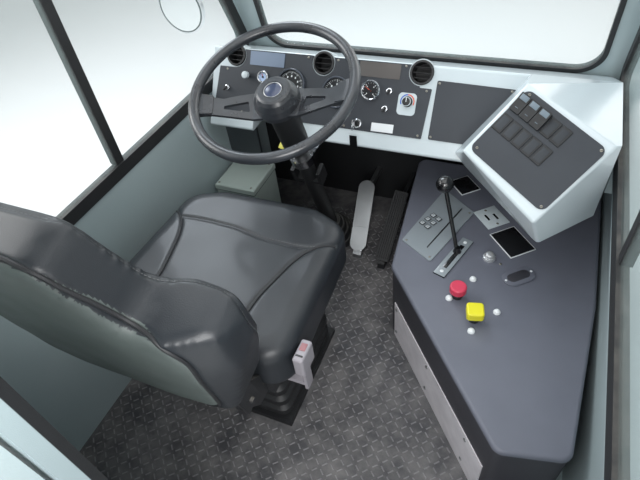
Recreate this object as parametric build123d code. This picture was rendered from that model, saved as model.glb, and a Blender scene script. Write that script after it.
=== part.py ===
"""Cab of a terminal tractor, with its driver's station.

Sizes are in millimetres. While it is drawn, x runs to the right from the middle of the cab, y runs
forward from the outer face of the rear wall, and z runs up from the top of the floor mat.
save() then moves every piece so that z is 0 under the base frame and the whole cab is centred.
"""
import os
from math import cos, radians, sin, tan

from build123d import *

os.makedirs("parts", exist_ok=True)

# Shell of the cab
HALF_WIDTH = 624.0          # inner face of each side wall
WALL = 40.0                 # thickness of the front wall
SIDE_WALL = 60.0
WALL_SKIN = 14.0            # the walls are this thick round the rubber of a window
REAR_WALL = 30.0
FRONT_IN = 1545.0           # inner face of the front wall, below the windscreen
RAKE = 14.1                 # lean of the windscreen and front pillars, in degrees
SCREEN_FOOT = 606.0         # height where the front wall starts to lean
HEADROOM = 1560.0           # underside of the roof
CORNER = 24.0               # radius of the upright outer corners
FIELD_DEPTH = 4.0           # pressed fields of the outer panels
FIELD_EDGE = 70.0
RECESS = 48.0               # hollow in the right wall, beside the console
RECESS_REAR = (60.0, 1150.0, 575.0)     # its rear part: limits in y, and its top
RECESS_FRONT = (1140.0, 1440.0, 500.0)  # its front part, under the dash
FAR = 4000.0                # more than the cab's own size, for blocks that cut right through
ROOF_EDGE = 46.0            # height of the roof's rim
ROOF_CROWN = 34.0           # rise of the roof's middle above its rim
ROOF_SKIN = 18.0
ROOF_OVERHANG = 22.0
ROOF_ROUND = 12.0
MAT = 8.0
PAN = 16.0
RAIL = 80.0                 # height of the base frame
RAIL_WIDTH = 60.0

# Mounts of the base frame: two tilt pivots in front, two bolted pads behind
PIVOT_X = 430.0
PIVOT_REACH = 40.0          # from the front of the frame to the middle of the bore
PIVOT_RADIUS = 16.0
LUG_RADIUS = 34.0
LUG_WIDTH = 80.0
PAD_X = 400.0
PAD_SPACING = 90.0
PAD_HOLE = 7.0

# Windows
SILL = 640.0
WINDOW_TOP = 1470.0
SIDE_REAR = 110.0
SIDE_FRONT = 1502.0         # front edge of a side window's glass, at the sill
SIDE_LEAN = 22.0            # lean of that edge, in degrees
SIDE_CORNER = 30.0
DIVIDER_Y = 763.0
DIVIDER = 28.0
DIVIDER_DEPTH = 24.0
SEAL_WEB = 16.0             # rubber between the opening and the glass
SIDE_LIP = 22.0             # how far the rubber's inner lip covers the wall
OUTER_LIP = 16.0
SCREEN_WEB = 8.0            # the windscreen's rubber is narrower
SCREEN_LIP = 6.0
SCREEN_OUTER_LIP = 18.0
REBATE = 34.0               # the outer hollow round a window, beyond its rubber's web
SEAL_PROUD = 5.0
GLASS = 5.0
GLASS_SET = 3.0             # from the inner face of a wall to its glass
LEFT_PILLAR = 90.0          # from the side walls to the windscreen's glass
RIGHT_PILLAR = 66.0
SCREEN_HEADER = 83.0        # from the windscreen's glass to the roof, along the slope
SCREEN_LOW = 645.0          # height of the lower edge of the windscreen's glass
SCREEN_CORNER = 70.0
REAR_PILLAR = 64.0          # from the side walls to the rear window and to the doorway
REAR_PANE_RIGHT = -110.0
REAR_PANE_LOW = 720.0
REAR_PANE_HIGH = 1420.0

# Rear doorway and its sliding door
DOOR_LEFT = -20.0
DOOR_HEAD = 1480.0
DOOR_SEAL = 12.0
LEAF_LAP = 10.0             # the leaf covers the doorway's edges by this much
LEAF = 28.0
LEAF_FOOT = -38.0
LEAF_STILE = 60.0
LEAF_RAIL_Z = 560.0         # lower edge of the window in the door
DOOR_GAP = 6.0              # running gap between the leaf and the rear wall
OPEN_SETBACK = 2.0          # the open leaf stands clear of the doorway by this much
TRACK_WALL = 4.0
TRACK_HEIGHT = 62.0
TRACK_CLEAR = 3.0
SEAT_GAP = 0.3              # gap of a piece that slides on what carries it
HANDLE = 30.0

# Dashboard
DASH_TOP = 740.0
DASH_FACE_Y = 1289.0        # y of the top edge of its face
DASH_SLOPE = 58.0           # slope of the face, from level
DASH_FACE = 252.0           # length of the face along its slope
DASH_UNDER = 520.0          # height of its underside
DASH_ROUND = 7.0
PANEL_SHEET = 3.0
VENT_RADIUS = 34.5
VENT_BOSS = 3.0             # moulding round each vent
VENT_BORE = 28.0
VENT_DEPTH = 50.0
VENT_DOWN = 22.0
DASH_LEFT_GAP = 24.0        # from the dash to the side walls
DASH_RIGHT_GAP = 24.0
FIRST_VENT = 84.0           # from the left end of the dash
OTHER_VENTS = (-209.0, 94.0)
BEZEL = 5.0
BEZEL_PROUD = 8.0

# Steering
WHEEL_X = -217.0
WHEEL_Y = 964.5
WHEEL_Z = 804.4
WHEEL_TILT = 20.0
WHEEL_TURN = 15.0           # the wheel is left turned to the left by this much
SPOKE_DROOP = 7.0
WHEEL_RADIUS = 214.5        # to the middle of the grip
WHEEL_GRIP = 14.0
SPOKE = 8.0
HUB_DEPTH = 62.0
COLLAR_RADIUS = 40.0        # housing of the column, under the wheel
COLLAR_LENGTH = 150.0
COLUMN_RADIUS = 26.0
COLUMN_GAP = 6.0            # between the wheel's hub and the column's housing
SHAFT_RADIUS = 11.0
SHAFT_FIT = 0.3
BOOT_RADIUS = 78.0

# Console beside the driver
CONSOLE_TOP = 312.0
COVER = 14.0
COVER_EDGE = 9.0
COVER_LAP = 4.0             # the cover stands out over the body by this much
SKIRT_TOP = 166.0
SKIRT = 3.0
CONSOLE_OUT = 39.0          # the console reaches into the right wall's hollow by this much
RELAY_TOP = 312.0
LINER = 12.0                # lining of the front wall under the dash

# Seat
SEAT_X = -246.0
CUSHION_TOP = 490.0
CUSHION_BOTTOM = 372.0
CUSHION_FRONT = 897.0
CUSHION_REAR = 400.0
CUSHION_FRONT_HALF = 256.0
CUSHION_REAR_HALF = 274.0
BACK_FOOT = 512.0
BACK_FRONT = 370.0          # y of the middle of the backrest's front face, while it stands upright
BACK_REAR = 285.0
BACK_WINGS = 34.0           # its wings stand forward of its middle by this much
BACK_TILT = 12.0
HINGE_Y = 330.0
HINGE_Z = 440.0
HINGE_RADIUS = 8.0
SEAT_SLIDE = 75.0
RISER_HALF = 190.0
RISER_REAR = 470.0
RISER_FRONT = 820.0
SLIDE_TOP = 330.0
SLIDE_HEIGHT = 18.0
SLIDE_HALF = 20.0

NOSE = FRONT_IN + WALL
REAR_END = -(DOOR_GAP + LEAF + HANDLE)
FRONT_END = NOSE + PIVOT_REACH + LUG_RADIUS
MIDDLE_Y = (REAR_END + FRONT_END) / 2
FOOT = -(MAT + PAN)
BASE_Z = FOOT - RAIL
SIDE_OUT = HALF_WIDTH + SIDE_WALL
LEAN = tan(radians(RAKE))
ROOF_FRONT = NOSE - (HEADROOM - SCREEN_FOOT) * LEAN
SCREEN_MIDDLE = (LEFT_PILLAR - RIGHT_PILLAR) / 2
SCREEN_HALF = HALF_WIDTH - (LEFT_PILLAR + RIGHT_PILLAR) / 2
SCREEN_LENGTH = (HEADROOM - SCREEN_LOW) / cos(radians(RAKE)) - SCREEN_HEADER
DOOR_RIGHT = HALF_WIDTH - REAR_PILLAR
LEAF_WIDTH = DOOR_RIGHT - DOOR_LEFT + 2 * LEAF_LAP
DASH_LEFT = DASH_LEFT_GAP - HALF_WIDTH
DASH_RIGHT = HALF_WIDTH - DASH_RIGHT_GAP
VENT_XS = (DASH_LEFT + FIRST_VENT,) + OTHER_VENTS
TO_PART = Location((0, -MIDDLE_Y, -BASE_Z))


def save(name, solid):
    """Write one piece in the part's own frame."""
    export_step(solid.moved(TO_PART), "parts/" + name + ".step")


def block(x0, x1, y0, y1, z0, z1):
    """A box between two opposite corners."""
    return Pos((x0 + x1) / 2, (y0 + y1) / 2, (z0 + z1) / 2) * Box(x1 - x0, y1 - y0, z1 - z0)


def side_face(points, x0, x1):
    """A polygon in y and z, extruded between two x values."""
    face = make_face(Polyline(*[(0, y, z) for y, z in points], close=True))
    return Pos(x0, 0, 0) * extrude(face, x1 - x0, dir=(1, 0, 0))


def plan_face(points, z0, z1, corner=0.0):
    """A polygon in x and y, extruded between two heights, with rounded upright edges."""
    face = make_face(Polyline(*[(x, y, 0) for x, y in points], close=True))
    if corner:
        face = fillet(face.vertices(), corner)
    return Pos(0, 0, z0) * extrude(face, z1 - z0, dir=(0, 0, 1))


def rod(start, end, radius):
    """A round bar between two points."""
    a = Vector(*start)
    b = Vector(*end)
    return extrude(Plane(origin=a, z_dir=b - a) * Circle(radius), (b - a).length)


def bent_rod(points, bend, radius):
    """A round bar along straight runs joined by arcs."""
    path = FilletPolyline(*points, radius=bend)
    start = Vector(*points[0])
    run = Vector(*points[1]) - start
    return sweep(Plane(origin=start, z_dir=run) * Circle(radius), path=path)


def slab(plane, outline, low, high):
    """A flat outline, extruded between two distances from its plane."""
    return extrude(plane.offset(low) * outline, high - low)


def joined(pieces):
    """All pieces of a list as one shape."""
    whole = pieces[0]
    for piece in pieces[1:]:
        whole += piece
    return whole


# Frame that carries the cab
def base_frame():
    frame = block(-SIDE_OUT, SIDE_OUT, 0, NOSE, BASE_Z, FOOT)
    bay = (NOSE - 4 * RAIL_WIDTH) / 3
    bay_width = SIDE_OUT - 1.5 * RAIL_WIDTH
    for row in range(3):
        y0 = RAIL_WIDTH + row * (bay + RAIL_WIDTH)
        for x0 in (RAIL_WIDTH - SIDE_OUT, RAIL_WIDTH / 2):
            frame -= block(x0, x0 + bay_width, y0, y0 + bay, BASE_Z - 1, FOOT + 1)
    eye_y = NOSE + PIVOT_REACH
    eye_z = BASE_Z + RAIL / 2
    for x in (-PIVOT_X, PIVOT_X):
        lug = block(x - LUG_WIDTH / 2, x + LUG_WIDTH / 2, NOSE - 1, eye_y,
                    eye_z - LUG_RADIUS, eye_z + LUG_RADIUS)
        lug += Pos(x, eye_y, eye_z) * Rot(0, 90, 0) * Cylinder(LUG_RADIUS, LUG_WIDTH)
        frame += lug
        frame -= Pos(x, eye_y, eye_z) * Rot(0, 90, 0) * Cylinder(PIVOT_RADIUS, LUG_WIDTH + 2)
    for x in (-PAD_X, PAD_X):
        for way in (-1, 1):
            hole = Cylinder(PAD_HOLE, RAIL + 2)
            frame -= Pos(x + way * PAD_SPACING / 2, RAIL_WIDTH / 2, eye_z) * hole
    save("base_frame", frame)


def floor():
    save("floor_pan", block(-HALF_WIDTH, HALF_WIDTH, REAR_WALL, FRONT_IN, FOOT, -MAT))
    save("floor_mat", block(-HALF_WIDTH, HALF_WIDTH, REAR_WALL, FRONT_IN, -MAT, 0))


# Walls and windows
def window_outline(grow):
    """Outline of a side window's glass in y and z, grown by some millimetres."""
    lean = radians(SIDE_LEAN)
    low = SILL - grow
    high = WINDOW_TOP + grow
    front = SIDE_FRONT + grow / cos(lean)
    front_low = front + grow * tan(lean)
    front_high = front - (high - SILL) * tan(lean)
    rear = SIDE_REAR - grow
    face = make_face(Polyline((rear, low), (front_low, low), (front_high, high), (rear, high), close=True))
    return fillet(face.vertices(), SIDE_CORNER + grow)


def side_window_slab(side, grow, depth_in, depth_out):
    """The window's outline as a slab; depths run outwards from the inner face of the wall."""
    wall_plane = Plane(origin=(0, 0, 0), x_dir=(0, 1, 0), z_dir=(1, 0, 0))
    x0, x1 = sorted((side * (HALF_WIDTH + depth_in), side * (HALF_WIDTH + depth_out)))
    return slab(wall_plane, window_outline(grow), x0, x1)


def side_walls():
    outline = [(0, FOOT), (NOSE, FOOT), (NOSE, SCREEN_FOOT), (ROOF_FRONT, HEADROOM), (0, HEADROOM)]
    panes = []
    seals = []
    for side, name in ((-1, "left"), (1, "right")):
        x0, x1 = sorted((side * HALF_WIDTH, side * SIDE_OUT))
        wall = side_face(outline, x0, x1)
        outer = wall.faces().filter_by(Axis.X).sort_by(Axis.X)[-1 if side > 0 else 0]
        upright = [e for e in outer.edges() if abs(e.tangent_at(0.5).Z) > 0.9]
        wall = fillet(upright, CORNER)
        field_low = FOOT + FIELD_EDGE
        field_high = SILL - SEAL_WEB - OUTER_LIP - FIELD_EDGE / 2
        field = block(side * SIDE_OUT - FIELD_DEPTH, side * SIDE_OUT + FIELD_DEPTH,
                      FIELD_EDGE, NOSE - FIELD_EDGE, field_low, field_high)
        wall -= fillet(field.edges().filter_by(Axis.X), CORNER)
        wall -= side_window_slab(side, SEAL_WEB, -1, SIDE_WALL + 1)
        wall -= side_window_slab(side, SEAL_WEB + REBATE, WALL_SKIN, SIDE_WALL + 1)
        if side > 0:
            for y0, y1, top in (RECESS_REAR, RECESS_FRONT):
                wall -= block(HALF_WIDTH - 1, HALF_WIDTH + RECESS, y0, y1, 0, top)
        save(name + "_wall", wall)
        seal = side_window_slab(side, SEAL_WEB, 0, WALL_SKIN)
        seal += side_window_slab(side, SEAL_WEB + SIDE_LIP, -SEAL_PROUD, 0)
        seal += side_window_slab(side, SEAL_WEB + OUTER_LIP, WALL_SKIN, WALL_SKIN + SEAL_PROUD)
        seal -= side_window_slab(side, 0, -SEAL_PROUD - 1, WALL_SKIN + SEAL_PROUD + 1)
        post = block(-FAR, FAR, DIVIDER_Y - DIVIDER / 2, DIVIDER_Y + DIVIDER / 2, 0, FAR)
        seals.append(seal + (side_window_slab(side, 0, 0, DIVIDER_DEPTH) & post))
        panes.append(side_window_slab(side, 0, GLASS_SET, GLASS_SET + GLASS) - post)
    save("side_window_seals", Compound(seals))
    save("side_window_glass", Compound([solid for pane in panes for solid in pane.solids()]))


def rear_wall():
    x0 = REAR_PILLAR - HALF_WIDTH
    x1 = REAR_PANE_RIGHT
    z0 = REAR_PANE_LOW
    z1 = REAR_PANE_HIGH
    wall = block(-HALF_WIDTH, HALF_WIDTH, 0, REAR_WALL, FOOT, HEADROOM)
    wall -= block(DOOR_LEFT, DOOR_RIGHT, -1, REAR_WALL + 1, 0, DOOR_HEAD)
    plane = Plane(origin=((x0 + x1) / 2, 0, (z0 + z1) / 2), x_dir=(1, 0, 0), z_dir=(0, -1, 0))

    def pane_slab(grow, low, high):
        outline = RectangleRounded(x1 - x0 + 2 * grow, z1 - z0 + 2 * grow, SIDE_CORNER + grow)
        return slab(plane, outline, -high, -low)

    save("rear_wall", wall - pane_slab(SEAL_WEB, -1, REAR_WALL + 1))
    seal = pane_slab(SEAL_WEB, 0, REAR_WALL)
    seal += pane_slab(SEAL_WEB + OUTER_LIP, REAR_WALL, REAR_WALL + SEAL_PROUD)
    save("rear_window_seal", seal - pane_slab(0, -1, REAR_WALL + SEAL_PROUD + 1))
    middle = (REAR_WALL - GLASS) / 2
    save("rear_window_glass", pane_slab(0, middle, middle + GLASS))
    frame = block(DOOR_LEFT, DOOR_RIGHT, 0, REAR_WALL + SEAL_PROUD, 0, DOOR_HEAD)
    frame -= block(DOOR_LEFT + DOOR_SEAL, DOOR_RIGHT - DOOR_SEAL, -1, REAR_WALL + SEAL_PROUD + 1,
                   -1, DOOR_HEAD - DOOR_SEAL)
    save("doorway_seal", frame)


def door_tracks():
    back = -(DOOR_GAP + LEAF + TRACK_CLEAR + TRACK_WALL)
    y0 = back + TRACK_WALL
    y1 = TRACK_CLEAR - DOOR_GAP
    head = DOOR_HEAD + 18
    rail = block(-SIDE_OUT, SIDE_OUT, back, 0, head, head + TRACK_HEIGHT)
    rail -= block(-SIDE_OUT - 1, SIDE_OUT + 1, y0, y1, head - 1, head + TRACK_HEIGHT - TRACK_WALL)
    low = LEAF_FOOT - SEAT_GAP - TRACK_WALL
    shoe = block(-SIDE_OUT, SIDE_OUT, back, 0, low, low + TRACK_HEIGHT / 2)
    shoe -= block(-SIDE_OUT - 1, SIDE_OUT + 1, y0, y1, low + TRACK_WALL, low + TRACK_HEIGHT)
    save("door_tracks", Compound([rail, shoe]))


SCREEN_UP = Vector(0, -sin(radians(RAKE)), cos(radians(RAKE)))
SCREEN_OUT = Vector(0, cos(radians(RAKE)), sin(radians(RAKE)))
SCREEN_WALL = WALL * cos(radians(RAKE))


def screen_slab(grow, depth_in, depth_out):
    """The windscreen's outline as a slab; depths run outwards from the wall's inner face."""
    foot = Vector(SCREEN_MIDDLE, FRONT_IN - (SCREEN_LOW - SCREEN_FOOT) * LEAN, SCREEN_LOW)
    middle = foot + SCREEN_UP * (SCREEN_LENGTH / 2)
    plane = Plane(origin=middle, x_dir=(1, 0, 0), z_dir=-SCREEN_OUT)
    outline = RectangleRounded(2 * (SCREEN_HALF + grow), SCREEN_LENGTH + 2 * grow, SCREEN_CORNER + grow)
    return slab(plane, outline, -depth_out, -depth_in)


GRILLE_SLOTS = 6
GRILLE_PITCH = 34.0
GRILLE_SLOT = 16.0
GRILLE_HALF = 330.0
GRILLE_LOW = 230.0
GRILLE_DEPTH = 14.0


def front_wall():
    shift = (HEADROOM - SCREEN_FOOT) * LEAN
    inner = [(FRONT_IN, FOOT), (FRONT_IN, SCREEN_FOOT), (FRONT_IN - shift, HEADROOM)]
    outer = [(y + WALL, z) for y, z in reversed(inner)]
    wall = side_face(inner + outer, -HALF_WIDTH, HALF_WIDTH)
    wall -= screen_slab(SCREEN_WEB, -WALL, SCREEN_WALL + WALL)
    wall -= screen_slab(SCREEN_WEB + REBATE, WALL_SKIN, SCREEN_WALL + WALL)
    for row in range(GRILLE_SLOTS):
        z = GRILLE_LOW + row * GRILLE_PITCH
        slot = block(-GRILLE_HALF, GRILLE_HALF, NOSE - GRILLE_DEPTH, NOSE + 1, z, z + GRILLE_SLOT)
        wall -= fillet(slot.edges().filter_by(Axis.Y), GRILLE_SLOT / 2 - 0.1)
    save("front_wall", wall)
    seal = screen_slab(SCREEN_WEB, 0, WALL_SKIN)
    seal += screen_slab(SCREEN_WEB + SCREEN_LIP, -SEAL_PROUD, 0)
    seal += screen_slab(SCREEN_WEB + SCREEN_OUTER_LIP, WALL_SKIN, WALL_SKIN + SEAL_PROUD)
    seal -= screen_slab(0, -SEAL_PROUD - 1, WALL_SKIN + SEAL_PROUD + 1)
    save("windscreen_seal", seal)
    save("windscreen", screen_slab(0, GLASS_SET, GLASS_SET + GLASS))


def roof_section(half, foot, rim):
    """End view of the roof: flat below, with upright rims and a crowned top."""
    return make_face(Wire([
        Line((-half, 0, foot), (half, 0, foot)),
        Line((half, 0, foot), (half, 0, rim)),
        ThreePointArc((half, 0, rim), (0, 0, rim + ROOF_CROWN), (-half, 0, rim)),
        Line((-half, 0, rim), (-half, 0, foot)),
    ]))


def roof():
    section = roof_section(SIDE_OUT + ROOF_OVERHANG, HEADROOM, HEADROOM + ROOF_EDGE)
    panel = Pos(0, -ROOF_OVERHANG, 0) * extrude(section, ROOF_FRONT + 2 * ROOF_OVERHANG, dir=(0, 1, 0))
    panel = fillet(panel.edges().filter_by(Axis.Z), CORNER + ROOF_OVERHANG)
    panel = fillet(panel.faces().sort_by(Axis.Z)[-1].edges(), ROOF_ROUND)
    section = roof_section(HALF_WIDTH, HEADROOM - 1, HEADROOM + ROOF_EDGE - ROOF_SKIN)
    hollow = extrude(section, ROOF_FRONT - REAR_WALL - WALL, dir=(0, 1, 0))
    save("roof", panel - Pos(0, REAR_WALL, 0) * hollow)


# Rear door, drawn open
def rear_door():
    x1 = DOOR_LEFT - OPEN_SETBACK
    x0 = x1 - LEAF_WIDTH
    y0 = -DOOR_GAP - LEAF
    y1 = -DOOR_GAP
    top = DOOR_HEAD + 18 + TRACK_HEIGHT - TRACK_WALL - 12
    window = block(x0 + LEAF_STILE, x1 - LEAF_STILE, y0 - 1, y1 + 1, LEAF_RAIL_Z, DOOR_HEAD - LEAF_STILE)
    window = fillet(window.edges().filter_by(Axis.Y), SIDE_CORNER)
    leaf = block(x0, x1, y0, y1, LEAF_FOOT, top)
    field = block(x0 + LEAF_STILE, x1 - LEAF_STILE, y0 - 1, y0 + FIELD_DEPTH,
                  LEAF_STILE, LEAF_RAIL_Z - LEAF_STILE)
    leaf -= fillet(field.edges().filter_by(Axis.Y), SIDE_CORNER)
    save("door_leaf", leaf - window)
    mid = (y0 + y1) / 2
    save("door_glass", window & block(x0, x1, mid - GLASS / 2, mid + GLASS / 2, 0, DOOR_HEAD))
    latch = block(x1 - 46, x1 - 14, y0 - 8, y0, 850, 990)
    latch = fillet(latch.edges().filter_by(Axis.Y), 8)
    pull = [(x1 - 30, y0 - 8, 872), (x1 - 30, y0 - HANDLE + 7, 872), (x1 - 30, y0 - HANDLE + 7, 968),
            (x1 - 30, y0 - 8, 968)]
    save("door_latch", latch + bent_rod(pull, 10, 7))


# Dashboard
def face_plane(x, down):
    """Plane on the dash face at a distance down from its top edge, with its own y up the slope."""
    s = radians(DASH_SLOPE)
    origin = (x, DASH_FACE_Y - down * cos(s), DASH_TOP - down * sin(s))
    return Plane(origin=origin, x_dir=(1, 0, 0), z_dir=(0, -sin(s), cos(s)))


def face_sheet(points, low, high, corner):
    """A polygon of (x, down) points on the dash face, as a sheet."""
    face = make_face(Polyline(*[(x, -down) for x, down in points], close=True))
    return slab(face_plane(0, 0), fillet(face.vertices(), corner), low, high)


# Points of (x, down) on the dash face
PANEL = ((DASH_LEFT + 12, 206), (DASH_LEFT + 27, 60), (VENT_XS[0], 60), (VENT_XS[0], 3), (94, 3), (94, 64),
         (130, 64), (122, 206))
BLANK_PANEL = ((142, 39), (359, 43), (254, 204), (142, 204))
COLUMN_NOTCH = ((-436, 200), (-287, 196), (-250, 280), (-436, 280))
NOTCH_DEPTH = 70.0
LAMP_STRIPS = ((-462, -340), (-92, 33))      # x limits
LAMP_STRIP_DOWN = (6, 48)
GAUGES = ((-310, 94, 47.0), (-156, 103, 47.0), (-50, 86, 29.5), (-411, 82, 19.0))   # x, down, radius


def dash():
    s = radians(DASH_SLOPE)
    lip_y = DASH_FACE_Y - DASH_FACE * cos(s)
    lip_z = DASH_TOP - DASH_FACE * sin(s)
    glass_foot = Vector(0, FRONT_IN - (SCREEN_LOW - SCREEN_FOOT) * LEAN, SCREEN_LOW)
    seal_foot = glass_foot - SCREEN_UP * (SCREEN_WEB + SCREEN_LIP + SEAT_GAP) - SCREEN_OUT * SEAL_PROUD
    section = [(DASH_FACE_Y, DASH_TOP), (lip_y, lip_z), (lip_y + 5, DASH_UNDER), (FRONT_IN, DASH_UNDER),
               (FRONT_IN, SCREEN_FOOT), (seal_foot.Y, seal_foot.Z)]
    body = side_face(section, DASH_LEFT, DASH_RIGHT)
    long_edges = body.edges().filter_by(Axis.X)
    body = fillet([e for e in long_edges if e.center().Y < DASH_FACE_Y + 1 and e.center().Z > DASH_UNDER + 1],
                  DASH_ROUND)
    body -= face_sheet(COLUMN_NOTCH, -NOTCH_DEPTH, 20, DASH_ROUND)
    for x in VENT_XS:
        body += slab(face_plane(x, VENT_DOWN), Circle(VENT_RADIUS + VENT_BOSS), -VENT_DEPTH, 0)
    for x in VENT_XS:
        body -= slab(face_plane(x, VENT_DOWN), Circle(VENT_RADIUS), -VENT_DEPTH, 1)
    save("dash_body", body)
    vents = []
    for x in VENT_XS:
        plane = face_plane(x, VENT_DOWN)
        cup = slab(plane, Circle(VENT_RADIUS), -VENT_DEPTH, 6)
        cup = fillet(cup.edges().filter_by(GeomType.CIRCLE).sort_by(Axis.Z)[-1:], 3)
        cup -= slab(plane, Circle(VENT_BORE), -VENT_DEPTH + 4, 7)
        for row in (-1, 0, 1):
            bar = slab(plane, Pos(0, row * 15) * Rectangle(2 * VENT_BORE + 2, 2), -30, -8)
            cup += bar & slab(plane, Circle(VENT_BORE + 1), -31, -7)
        vents.append(cup)
    save("dash_vents", Compound(vents))
    panel = face_sheet(PANEL, 0, PANEL_SHEET, 3)
    for x in VENT_XS:
        panel -= slab(face_plane(x, VENT_DOWN), Circle(VENT_RADIUS + VENT_BOSS), -1, 10)
    blank = face_sheet(BLANK_PANEL, 0, PANEL_SHEET, 5)
    save("instrument_panel", Compound([panel, blank]))
    strips = []
    for x0, x1 in LAMP_STRIPS:
        middle = (LAMP_STRIP_DOWN[0] + LAMP_STRIP_DOWN[1]) / 2
        outline = RectangleRounded(x1 - x0, LAMP_STRIP_DOWN[1] - LAMP_STRIP_DOWN[0], 2)
        strips.append(slab(face_plane((x0 + x1) / 2, middle), outline, PANEL_SHEET, PANEL_SHEET + 2))
    save("lamp_strips", Compound(strips))
    gauges = []
    for x, down, radius in GAUGES:
        plane = face_plane(x, down)
        ring = slab(plane, Circle(radius), PANEL_SHEET, PANEL_SHEET + BEZEL_PROUD)
        ring = chamfer(ring.edges().sort_by(Axis.Z)[-1:], 2)
        ring -= slab(plane, Circle(radius - BEZEL), PANEL_SHEET + 2, PANEL_SHEET + BEZEL_PROUD + 1)
        gauges.append(ring)
    save("dash_gauges", Compound(gauges))


TOGGLES = ((DASH_LEFT + 59, 127), (8, 82), (2, 133))   # x and down


def dash_controls():
    toggles = []
    for x, down in TOGGLES:
        plane = face_plane(x, down)
        nut = slab(plane, RegularPolygon(8.5, 6), PANEL_SHEET, PANEL_SHEET + 4)
        nut += slab(plane, Circle(5.5), PANEL_SHEET + 4, PANEL_SHEET + 9)
        tip = plane * Pos(0, -7, 24)
        nut += rod(plane.from_local_coords((0, 0, PANEL_SHEET + 6)), tip.position, 2.4)
        nut += Pos(tip.position) * Sphere(4)
        toggles.append(nut)
    plane = face_plane(-467, 82)
    knob = slab(plane, Circle(5), PANEL_SHEET, PANEL_SHEET + 12)
    knob += slab(plane, Circle(11), PANEL_SHEET + 12, PANEL_SHEET + 24)
    knob = fillet(knob.edges().filter_by(GeomType.CIRCLE).sort_by(Axis.Z)[-1:], 3)
    plane = face_plane(-76, 186)
    lock = slab(plane, Circle(14), PANEL_SHEET, PANEL_SHEET + 7)
    lock += slab(plane, Circle(9), PANEL_SHEET + 7, PANEL_SHEET + 12)
    lock += slab(plane, Rectangle(3, 18), PANEL_SHEET + 12, PANEL_SHEET + 34)
    save("dash_switches", Compound(toggles + [knob, lock]))
    plate = slab(face_plane(65, 113), RectangleRounded(54, 63, 12), PANEL_SHEET, PANEL_SHEET + 3)
    plate += slab(face_plane(66, 106), Circle(13), PANEL_SHEET + 3, PANEL_SHEET + 20)
    save("heater_control", plate)


# Pod of rocker switches, on the right of the dash
PLATE_TOP = Vector(-214, -181, 56)           # two corners of the plate, from the dash's right end
PLATE_RIGHT = Vector(-24, -296, -7)
PLATE_SLOPE = Vector(113, 124, 125)          # direction of its left edge, upwards
POD_PLATE = (230.0, 187.0)
POD_RIM = ((-10, 8), (237, 18), (235, -217), (-8, -201))    # corners of the pod's top, in the plate's plane
POD_SIDE = Vector(-247, -23, -37)            # a point of its left side, beside the dash
POD_HEIGHT = 230.0                           # from its underside to the top of the dash
POD_FOOT = ((-359, -110), (-133, -373), (0, -251))
POD_ROUND = 8.0
PLATE_CORNER = 18.0
ROCKER = (28.0, 45.0)
ROCKER_PITCH = (30.0, 57.0)
ROCKER_START = (16.0, 38.0)                  # middle of the first one, from the top corner
ROCKER_HIGH = 3                              # the first few stand up, the rest are blanks


def pod_corner():
    """Right end of the dash, at the top of its face."""
    return Vector(DASH_RIGHT, DASH_FACE_Y, DASH_TOP)


def pod_plane():
    """Plane of the black plate; its x runs to the right corner and its y away from the driver."""
    across = (PLATE_RIGHT - PLATE_TOP).normalized()
    return Plane(origin=pod_corner() + PLATE_TOP, x_dir=across, z_dir=across.cross(PLATE_SLOPE).normalized())


def cut_above(solid, a, b, c):
    """Take away what lies above the plane through three points."""
    normal = (b - a).cross(c - a)
    if normal.Z < 0:
        normal = -normal
    return solid - extrude(Plane(origin=a, z_dir=normal) * Rectangle(FAR, FAR), FAR)


def cut_outside(solid, a, b, c, inside):
    """Take away what lies on the far side of the plane through three points."""
    normal = (b - a).cross(c - a)
    if normal.dot(inside - a) > 0:
        normal = -normal
    return solid - extrude(Plane(origin=a, z_dir=normal) * Rectangle(FAR, FAR), FAR)


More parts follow.
